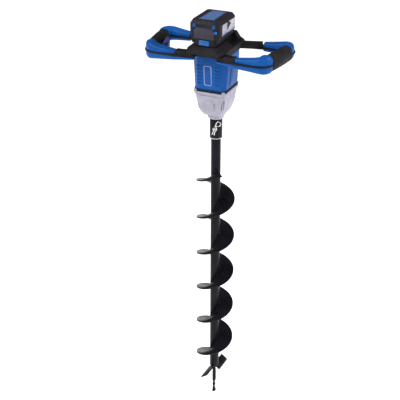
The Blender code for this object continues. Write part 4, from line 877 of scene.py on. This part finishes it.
def flight_turn(z):
    """The turn of the flight's radial edge at a height in millimetres."""
    return LEVEL_TURN + 2 * math.pi * (z - LEVEL_Z) / PITCH


low_turn = flight_turn(FLIGHT_LOW)
turns = (FLIGHT_HIGH - FLIGHT_LOW) / PITCH
bpy.ops.mesh.primitive_plane_add(size=1, location=(0, 0, 0))
flight = bpy.context.object
flight.name = "drill_flight"
edit_faces(flight, lambda face: True)
bpy.ops.mesh.select_mode(type="VERT")
bpy.ops.mesh.merge(type="CENTER")
bpy.ops.transform.translate(value=((SHAFT_RADIUS + SHAFT_GAP) * MM, 0, 0))
span = (FLIGHT_RADIUS - SHAFT_RADIUS - SHAFT_GAP) * MM
bpy.ops.mesh.extrude_region_move(TRANSFORM_OT_translate={"value": (span, 0, 0)})
bpy.ops.object.mode_set(mode="OBJECT")
flight.data.transform(Matrix.Translation((0, 0, FLIGHT_LOW * MM)) @ Matrix.Rotation(low_turn, 4, "Z"))
add_modifier(flight, "SCREW", angle=2 * math.pi * turns, screw_offset=(FLIGHT_HIGH - FLIGHT_LOW) * MM,
             steps=round(TURN_STEPS * turns), render_steps=round(TURN_STEPS * turns),
             use_merge_vertices=False)
add_modifier(flight, "SOLIDIFY", thickness=FLIGHT_THICK * MM, offset=0)
add_modifier(flight, "BEVEL", width=0.7 * MM, segments=2, limit_method="ANGLE", angle_limit=math.radians(50))
close_piece(flight, 50)
mount(flight, "drill_black", "auger_flight", ["auger_flight"])

# %% [markdown]
# ## Weld beads
# The flight is welded to the shaft from above. A weld is a row of overlapping puddles, so the bead is a
# helical wire whose thickness rises and falls every few millimetres.

# %% Weld beads
BEAD_RADIUS, PUDDLE, BEAD_STEPS = 1.9, 4.2, 60
line = bpy.data.curves.new("weld_bead", "CURVE")
line.dimensions = "3D"
line.bevel_depth = BEAD_RADIUS * MM
line.bevel_resolution = 2
line.use_fill_caps = True
spline = line.splines.new("POLY")
count = round(turns * BEAD_STEPS)
spline.points.add(count)
for i, point in enumerate(spline.points):
    z = FLIGHT_LOW + 3 + (FLIGHT_HIGH - FLIGHT_LOW - 6) * i / count
    turn = flight_turn(z)
    reach = (SHAFT_RADIUS + 0.6) * MM
    point.co = (reach * math.cos(turn), reach * math.sin(turn), (z + FLIGHT_THICK / 2 + 0.3) * MM, 1)
    travelled = 2 * math.pi * SHAFT_RADIUS * turns * i / count
    point.radius = 1 + 0.28 * math.sin(2 * math.pi * travelled / PUDDLE)
bead = bpy.data.objects.new("weld_bead", line)
bpy.context.scene.collection.objects.link(bead)
pick(bead)
bpy.ops.object.convert(target="MESH")
bead = bpy.context.object
mount(close_piece(bead, 60), "drill_black", "auger_flight")

# %% [markdown]
# ## Blades and pilot
# Two flat blades cut the bottom of the hole, and a twisted pilot point keeps the drill on its spot. The
# pilot's facets are turned back to quads and subdivided so that its twist runs smoothly.

# %% Blades and pilot
for node, name in (("cutter_blade_1", "first_blade"), ("cutter_blade_2", "second_blade")):
    mount(round_edges(copy_node(node, name), 0.35, 2, 30), "blade_steel", node, [node])
pilot = copy_node("pilot_point", "pilot_screw", quads=True)
add_modifier(pilot, "SUBSURF", levels=2, render_levels=2)
mount(close_piece(pilot, 60), "drill_black", "pilot_point", ["pilot_point"])

# %% [markdown]
# ## Camera
# The camera looks down on the tool from its front right, from far enough away that the long drill hardly
# narrows. Its aim, turn and rise are the driving values.

# %% Camera
AIM = Vector((0.0, -0.0981, -0.3611))
TURN, RISE, DISTANCE, LENS = math.radians(24.24), math.radians(26.82), 2.5, 90.03
back = Vector((math.sin(TURN) * math.cos(RISE), -math.cos(TURN) * math.cos(RISE), math.sin(RISE)))
camera = bpy.data.objects.new("camera", bpy.data.cameras.new("camera"))
bpy.context.scene.collection.objects.link(camera)
camera.location = AIM + back * DISTANCE
camera.rotation_euler = (-back).to_track_quat("-Z", "Y").to_euler()
camera.data.lens = LENS
bpy.context.scene.camera = camera
print("camera at", [round(value, 3) for value in camera.location])

# %% [markdown]
# ## Floor and light
# A pale floor lies just under the drill's point and glows a little, as a lit table does, so it stays white
# to its far edge. Two large soft lamps and an even pale sky give the plain light of a product studio: a key
# from the front left, a cooler one from the right, and no hard shadows.
# The sky is dimmer in reflections than it is as light, as when dark cloths stand beside a glossy black piece,
# so the blacks stay deep and only the lamps draw lines of light on them.


# %% Floor, lamps and sky
def lamp(name, place, energy, size, colour):
    """A large square soft lamp that faces the tool."""
    light = bpy.data.lights.new(name, "AREA")
    light.energy, light.size, light.color = energy, size, colour
    obj = bpy.data.objects.new(name, light)
    bpy.context.scene.collection.objects.link(obj)
    obj.location = place
    obj.rotation_euler = (AIM - Vector(place)).to_track_quat("-Z", "Y").to_euler()


floor_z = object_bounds()[0].z - MM
bpy.ops.mesh.primitive_plane_add(size=60, location=(0, 0, floor_z))
floor = bpy.context.object
floor.name = "floor"
pale = bpy.data.materials.new("pale_floor")
pale.use_nodes = True
pale.node_tree.nodes["Principled BSDF"].inputs["Base Color"].default_value = (0.97, 0.97, 0.97, 1)
pale.node_tree.nodes["Principled BSDF"].inputs["Roughness"].default_value = 0.9
pale.node_tree.nodes["Principled BSDF"].inputs["Emission Color"].default_value = (1, 1, 1, 1)
pale.node_tree.nodes["Principled BSDF"].inputs["Emission Strength"].default_value = 0.36
floor.data.materials.append(pale)
lamp("key", (-1.9, -2.0, 2.3), 95, 1.6, (1.0, 0.99, 0.97))
lamp("side", (2.6, 0.4, 1.2), 60, 1.4, (0.95, 0.97, 1.0))
sky = bpy.data.worlds.new("sky")
sky.use_nodes = True
sky.node_tree.nodes["Background"].inputs["Color"].default_value = (1, 1, 1, 1)
SKY_LIGHT, SKY_REFLECTED = 0.68, 0.16
light_path = sky.node_tree.nodes.new("ShaderNodeLightPath")
level = sky.node_tree.nodes.new("ShaderNodeMapRange")
level.inputs["To Min"].default_value = SKY_LIGHT
level.inputs["To Max"].default_value = SKY_REFLECTED
sky.node_tree.links.new(light_path.outputs["Is Glossy Ray"], level.inputs["Value"])
sky.node_tree.links.new(level.outputs["Result"], sky.node_tree.nodes["Background"].inputs["Strength"])
bpy.context.scene.world = sky
bpy.context.scene.view_settings.view_transform = "Standard"
print("floor at", round(floor_z, 4))
